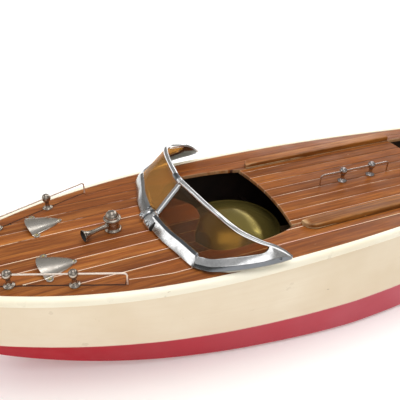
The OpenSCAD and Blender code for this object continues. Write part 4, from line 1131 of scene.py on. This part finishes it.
def vent(side, tag):
    """Clam-shell cowl on three ears, open towards the bow."""
    p = Parts()
    ps = [0.002, 0.006, 0.012, 0.022, 0.036, 0.055, 0.08, 0.11, 0.15] + spread(0.19, 0.97, 26) + [0.985, 0.995, 1.0]
    qs = [-1, -0.985, -0.96, -0.945, -0.935, -0.92, -0.895, -0.86, -0.81, -0.75, -0.68, -0.6, -0.5, -0.4, -0.3, -0.2, -0.1]
    qs = qs + [0] + [-q for q in reversed(qs)]

    def pt(a, q, dz):
        x, y = vent_at(a, q)
        return (x, side * y, deck_z(x, y) + dz + vent_rise(a, q))

    up = [[pt(a, q, 0.8 - 0.25 * (max(0, abs(q) - 0.96) / 0.04)) for q in qs] for a in ps]
    dn = [[pt(a, q, 0.08) for q in qs] for a in ps]
    rings = [a + b[::-1] for a, b in zip(up, dn)]
    m = len(rings[0])
    v = [q for r in rings for q in r]
    f = [(i * m + j, (i + 1) * m + j, (i + 1) * m + (j + 1) % m, i * m + (j + 1) % m) for i in range(len(rings) - 1) for j in range(m)]
    for b in (0, (len(rings) - 1) * m):
        f += [(b + j, b + j + 1, b + m - 2 - j, b + m - 1 - j) for j in range(m // 2 - 1)]
    p.add(v, f, 0)
    for x, y, r in EARS:
        v, f = lathe([(0, 0.02), (r, 0.02), (r, 0.5), (r - 0.12, 0.68), (r - 0.4, 0.76), (0, 0.76)], 30)
        p.add(v, f, 0, at(x, side * y, deck_z(x, y) + 0.03))
    p.make("vent_shell_" + tag, [SATIN], angle=45, stands=("vent_" + tag,), slot="nickel")


vent(1, "port")
vent(-1, "starboard")

pins = Parts()
for sgn in (1, -1):
    for x, y, r in EARS:
        v, f = lathe([(0, 0), (1.1, 0), (1.1, 0.12), (1.02, 0.32), (0.8, 0.6), (0.5, 0.8), (0.2, 0.88), (0, 0.9)], 24)
        pins.add(v, f, 0, at(x, sgn * y, deck_z(x, y) + 0.74))
pins.make("vent_pin_heads", [PIN], angle=50, stands=("vent_pins",), slot="brass")

HX, HZ = 200.7, deck_z(200.7, 0) + 0.1
v, f = lathe([(0, 0), (6.3, 0), (6.5, 0.2), (6.5, 0.7), (6.25, 1.1), (5.7, 1.35), (5.2, 1.6), (4.95, 2.1), (4.9, 3.0), (4.95, 4.5), (5.05, 6.2), (5.2, 7.8), (5.3, 8.6),
              (5.5, 8.9), (6.1, 9.05), (6.55, 9.25), (6.72, 9.6), (6.72, 10.1), (6.5, 10.5), (5.9, 10.75), (5.3, 10.9), (5.12, 11.1), (5.1, 11.4),
              (5.05, 12.1), (4.8, 13.0), (4.35, 13.9), (3.7, 14.7), (2.8, 15.4), (1.8, 15.9), (0.9, 16.15), (0, 16.22)], 48)
make("horn_bollard", [tuple(Vector(q) + Vector((HX, 0, HZ))) for q in v], f, [NICKEL], angle=42, stands=("horn_body",), slot="nickel")
v, f = lathe([(0, 4.8), (2.5, 4.8), (2.55, 5.4), (2.1, 5.7), (1.82, 6.2), (1.72, 9), (1.72, 15), (1.8, 17), (2.0, 18.8), (2.4, 20.4), (3.05, 22.0), (3.85, 23.4), (4.4, 24.1),
              (4.62, 24.4), (4.66, 24.7), (4.5, 24.95), (4.2, 24.9), (3.6, 23.9), (2.8, 22.4), (2.2, 20.9), (1.7, 19.2), (1.35, 18.0), (0, 17.8)], 40)
# the inside of the bell is painted dark: painted shade in the horn's mouth
fm = [1 if k >= 40 * 16 else 0 for k in range(len(f))]
place = at(HX, 0, HZ + 4.95, ("Z", 16), ("Y", 90))
make("horn_tube", [tuple(place @ Vector(q)) for q in v], f, [NICKEL, PAINTED_HOLE_SHADE], fm, angle=45, stands=("horn_trumpet",), slot="nickel")


def foot(a):
    return Vector((a[0], a[1], deck_z(a[0], a[1]) + 0.06))


def rail(parts, a, b, sgn, h=9.6, bend=2.2, r=0.65):
    p, d = foot(a), foot(b) - foot(a)
    L = d.length
    ex = d.normalized()
    ey = Vector((0, 0, 1)).cross(ex).normalized()
    ez = ex.cross(ey)
    path = [(0, z) for z in (0, 0.3, 2.5, 5, h - bend)]
    path += [(bend - bend * math.cos(math.radians(q)), h - bend + bend * math.sin(math.radians(q))) for q in range(15, 91, 15)]
    path += [(x, h) for x in spread(bend + 2, L - bend - 2, 40)]
    path += [(L - bend + bend * math.sin(math.radians(q)), h - bend + bend * math.cos(math.radians(q))) for q in range(0, 91, 15)]
    path += [(L, z) for z in (5, 2.5, 0.3, 0)]
    pts = []
    for x, z in path:
        q = p + ex * x + ez * z
        pts.append(Vector((q.x, sgn * q.y, q.z)))
    v, f = tube(pts, r, 14)
    parts.add(v, f, 0)


def stanchions(parts, a, b, ts, sgn, h=9.6, ball=3.15):
    p, d = foot(a), foot(b) - foot(a)
    tilt = math.atan2(d.z, math.hypot(d.x, d.y))
    for t in ts:
        o = foot((mix(a[0], b[0], t), mix(a[1], b[1], t)))
        w = p.z + t * d.z + h / math.cos(tilt) - o.z
        prof = [(0, 0), (3.9, 0), (4.05, 0.18), (4.0, 0.5), (3.7, 0.8), (3.0, 1.15), (2.35, 1.6), (1.85, 2.3), (1.62, 3.3), (1.6, 4.6), (1.72, 5.7), (1.95, 6.4)]
        prof += [(ball * math.cos(math.radians(q)), w + ball * math.sin(math.radians(q))) for q in range(-46, 90, 8)] + [(0, w + ball)]
        v, f = lathe(prof, 36)
        parts.add(v, f, 0, at(o.x, sgn * o.y, o.z))


FA, FB = (208.4, 62.2), (304, 26)
w, s = Parts(), Parts()
for sgn in (1, -1):
    rail(w, FA, FB, sgn)
    stanchions(s, FA, FB, (0.34, 0.76), sgn, ball=3.5)
w.make("foredeck_rail_wires", [WIRE_PAINTED_SHEEN], angle=60, stands=("foredeck_rails",), slot="nickel")
s.make("foredeck_rail_posts", [NICKEL], angle=40, stands=("foredeck_stanchions",), slot="nickel")
w, s = Parts(), Parts()
rail(w, (-51.5, 5), (19.5, 5), 1)
stanchions(s, (-51.5, 5), (19.5, 5), (0.255, 0.677), 1, ball=3.4)
w.make("hatch_rail_wire", [LID_WIRE], body="hatch", angle=60, stands=("hatch_rail",), slot="nickel")
s.make("hatch_rail_posts", [LID_NICKEL], body="hatch", angle=40, stands=("hatch_stanchions",), slot="nickel")

# ---------------------------------------------------------------- tank top
dome_h, dome_w = 11.0, 38.4
dome_r = (dome_h ** 2 + dome_w ** 2) / (2 * dome_h)
a0 = math.asin(dome_w / dome_r)
prof = [(36.6, 0), (40.9, 0), (41.25, 0.15), (41.4, 0.5), (41.3, 0.95), (40.9, 1.18), (39.6, 1.2), (38.9, 1.25), (38.5, 1.42)]
prof += [(dome_r * math.sin(a0 * (1 - k / 30)), 1.4 + dome_r * math.cos(a0 * (1 - k / 30)) - dome_r + dome_h) for k in range(1, 31)]
prof += [((dome_r - 0.8) * math.sin(a0 * k / 14), 0.6 + (dome_r - 0.8) * math.cos(a0 * k / 14) - dome_r + dome_h + 0.8 - 0.8) for k in range(0, 14)]
prof = [(0 if r < 1e-4 else r, z) for r, z in prof]
prof.append((36.6, 0.5))
prof.append((36.6, 0))
v, f = lathe(prof, 112)
make("tank_top", [(x + 101, y, z + 72.6) for x, y, z in v], f, [DOME], angle=40, stands=("tank_dome",), slot="brass", weld=0.001)

# ---------------------------------------------------------------- stern gear
TILT = math.radians(4.27)
SHAFT = Matrix.Translation((15, 0, 39.6)) @ Matrix.Rotation(-TILT, 4, "Y")


def propeller():
    p = Parts()
    v, f = lathe([(2.02, -5.0), (2.9, -5.0), (3.2, -4.6), (3.5, -3.2), (3.55, 0), (3.5, 3.4), (3.3, 5.2), (2.9, 5.9), (2.02, 6.0), (2.02, -5.0)], 36)
    p.add(v, f, 0, SHAFT @ at(-331, 0, 0, ("Y", -90)))
    for b in range(3):
        up, dn = [], []
        for r in spread(2.9, 13.5, 16):
            k = (r - 2.9) / 10.6
            chord = 5.2 * math.sin(math.pi * (0.16 + 0.82 * k)) ** 0.55 * (1 if k < 0.86 else math.sqrt(max(0.02, 1 - ((k - 0.86) / 0.15) ** 2)))
            pitch = math.radians(mix(56, 27, k ** 0.7))
            a, c = [], []
            for q in spread(-1, 1, 12):
                th = (0.75 - 0.5 * k) * math.sqrt(max(0, 1 - q * q)) + 0.06
                s = q * chord + 1.2 * k * k
                cup = 0.5 * (1 - q * q)
                for lst, t in ((a, th + cup), (c, -th * 0.5 + cup)):
                    # along the shaft, round the shaft
                    ax = s * math.cos(pitch) * 0.72 + t * math.sin(pitch)
                    ci = s * math.sin(pitch) - t * math.cos(pitch)
                    ang = ci / r
                    lst.append((ax * 0.9, r * math.sin(ang), r * math.cos(ang)))
            up.append(a)
            dn.append(c)
        rings = [a + c[::-1] for a, c in zip(up, dn)]
        v, f = loft(rings)
        p.add(v, f, 0, SHAFT @ at(-331, 0, 0, ("X", 120 * b)))
    v, f = loft([[(x, 3.6 * k * math.cos(math.radians(60 * j)), 3.6 * k * math.sin(math.radians(60 * j))) for j in range(6)]
                 for x, k in ((-340.2, 0.84), (-339.9, 0.98), (-337.4, 1.0), (-337.05, 0.9))])
    p.add(v, f, 0, SHAFT)
    p.make("propeller_bronze", [BRONZE], body="drive", angle=40, stands=("propeller",), slot="brass")


propeller()


def rudder():
    p = Parts()
    out = soften([(8, 36.5), (9, 34), (7.5, 9), (5, 6), (-9, 4.6), (-13.5, 6.5), (-15.5, 12), (-15, 33), (-13, 36.5)], 1.6, 5)
    cx, cz = -3, 21
    rows = []
    for y, k in ((-0.88, 0.90), (-0.72, 0.965), (-0.4, 0.99), (0, 1.0), (0.4, 0.99), (0.72, 0.965), (0.88, 0.90)):
        rows.append([(-338 + cx + (x - cx) * k, y, cz + (z - cz) * k) for x, z in out])
    v, f = loft(rows)
    p.add(v, f, 0)
    v, f = lathe([(0, 6.0), (1.6, 6.0), (2.0, 6.5), (2.0, 71.4), (1.7, 71.95), (0, 72)], 28)
    p.add(v, f, 0, at(-338, 0, 0))
    p.make("rudder_blade", [BRASS], body="rudder", angle=40, stands=("rudder",), slot="brass")


rudder()

# ---------------------------------------------------------------- finishes of the CAD parts that show as they are
FINISH = {
    PLY: ["hatch_ledges", "engine_bearers", "tube_block", "aft_cockpit_floor"],
    INSIDE: ["bulkheads", "cockpit_floor"],
    RED: ["skeg"],
    BRASS: ["tank_body", "stern_tube", "rudder_tube", "spray_bar", "needle_valve", "tiller_arm", "flywheel", "shaft_coupling", "glow_plug"],
    BRONZE: ["shaft_bush", "stern_bushes"],
    ALLOY: ["crankcase", "backplate", "intake_venturi", "exhaust_stack", "connecting_rod"],
    FINS: ["cylinder_head", "cylinder_jacket"],
    STEEL: ["mount_screws", "engine_screws", "cylinder_liner", "piston", "crank_pins", "crankshaft", "propeller_shaft"],
    TUBE: ["fuel_line"],
}
for m, names in FINISH.items():
    for n in names:
        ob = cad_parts[n]
        ob.data.materials.clear()
        ob.data.materials.append(m)

# ---------------------------------------------------------------- floor and light
fm = Tree("floor_pale")
fm.set(Base_Color=fm.mix(fm.noise(3, detail=2), (0.93, 0.93, 0.925), (0.95, 0.95, 0.945)), Emission_Color=(1.0, 0.99, 0.98, 1), Emission_Strength=0.15, Roughness=0.75)
me = bpy.data.meshes.new("floor")
me.from_pydata([(-6, -6, -0.0004), (6, -6, -0.0004), (6, 6, -0.0004), (-6, 6, -0.0004)], [], [(0, 1, 2, 3)])
me.materials.append(fm.m)
link(bpy.data.objects.new("floor", me))

world = bpy.data.worlds.new("studio")
scene.world = world
world.use_nodes = True
nt = world.node_tree
bg = nt.nodes["Background"]
tc = nt.nodes.new("ShaderNodeTexCoord")
sx = nt.nodes.new("ShaderNodeSeparateXYZ")
nt.links.new(tc.outputs["Generated"], sx.inputs[0])
rp = nt.nodes.new("ShaderNodeValToRGB")
nt.links.new(sx.outputs[2], rp.inputs[0])
e = rp.color_ramp.elements
e[0].position, e[0].color = 0.0, (0.56, 0.53, 0.48, 1)
e[1].position, e[1].color = 0.75, (1.0, 1.0, 1.0, 1)
nt.links.new(rp.outputs[0], bg.inputs["Color"])
bg.inputs["Strength"].default_value = 0.38


def area(name, place, aim, size, power, tint=(1, 1, 1), gloss=True, along=None):
    d = bpy.data.lights.new(name, "AREA")
    d.shape = "RECTANGLE"
    d.size, d.size_y = size
    d.energy = power
    d.color = tint
    ob = link(bpy.data.objects.new(name, d))
    ob.location = place
    ob.rotation_mode = "QUATERNION"
    ob.rotation_quaternion = (Vector(aim) - Vector(place)).to_track_quat("-Z", "Y")
    if along is not None:
        z = (Vector(place) - Vector(aim)).normalized()
        y = (Vector(along) - z * Vector(along).dot(z)).normalized()
        ob.rotation_quaternion = Matrix((y.cross(z), y, z)).transposed().to_quaternion()
    ob.visible_glossy = gloss


area("overhead", (0.05, 0.1, 1.5), (0.05, 0, 0), (2.0, 1.6), 18.8, gloss=False)
area("window", (0.9, 1.2, 0.9), (0.1, 0, 0.05), (0.8, 0.8), 3.4, (1.0, 0.98, 0.95), gloss=False)
area("far_window", (-0.645, -0.66, 0.56), (0.09, 0, 0.08), (0.30, 0.85), 1.7, along=(-0.26, 0.74, 0.60))
area("far_lamp", (-0.77, -0.33, 0.99), (0.09, 0, 0.08), (0.10, 0.10), 0.3)
area("bow_window", (1.63, -0.60, 0.85), (0.15, 0, 0.1), (1.5, 0.8), 3.8)
area("side_window", (0.20, 1.5, 1.10), (0.15, 0, 0.1), (1.4, 0.8), 3.2)
area("far_fill", (-0.1, -1.3, 1.1), (0.05, 0, 0.05), (0.9, 0.9), 4.8, gloss=False)
area("roof_light", (0.0, -0.25, 1.45), (0.15, 0, 0.1), (0.7, 0.5), 2.4)
area("lamp", (0.16, 0.25, 1.4), (0.12, 0, 0.1), (0.45, 0.3), 0.9)
scene.view_settings.view_transform = "Standard"
scene.view_settings.look = "None"
scene.view_settings.exposure = 0.0
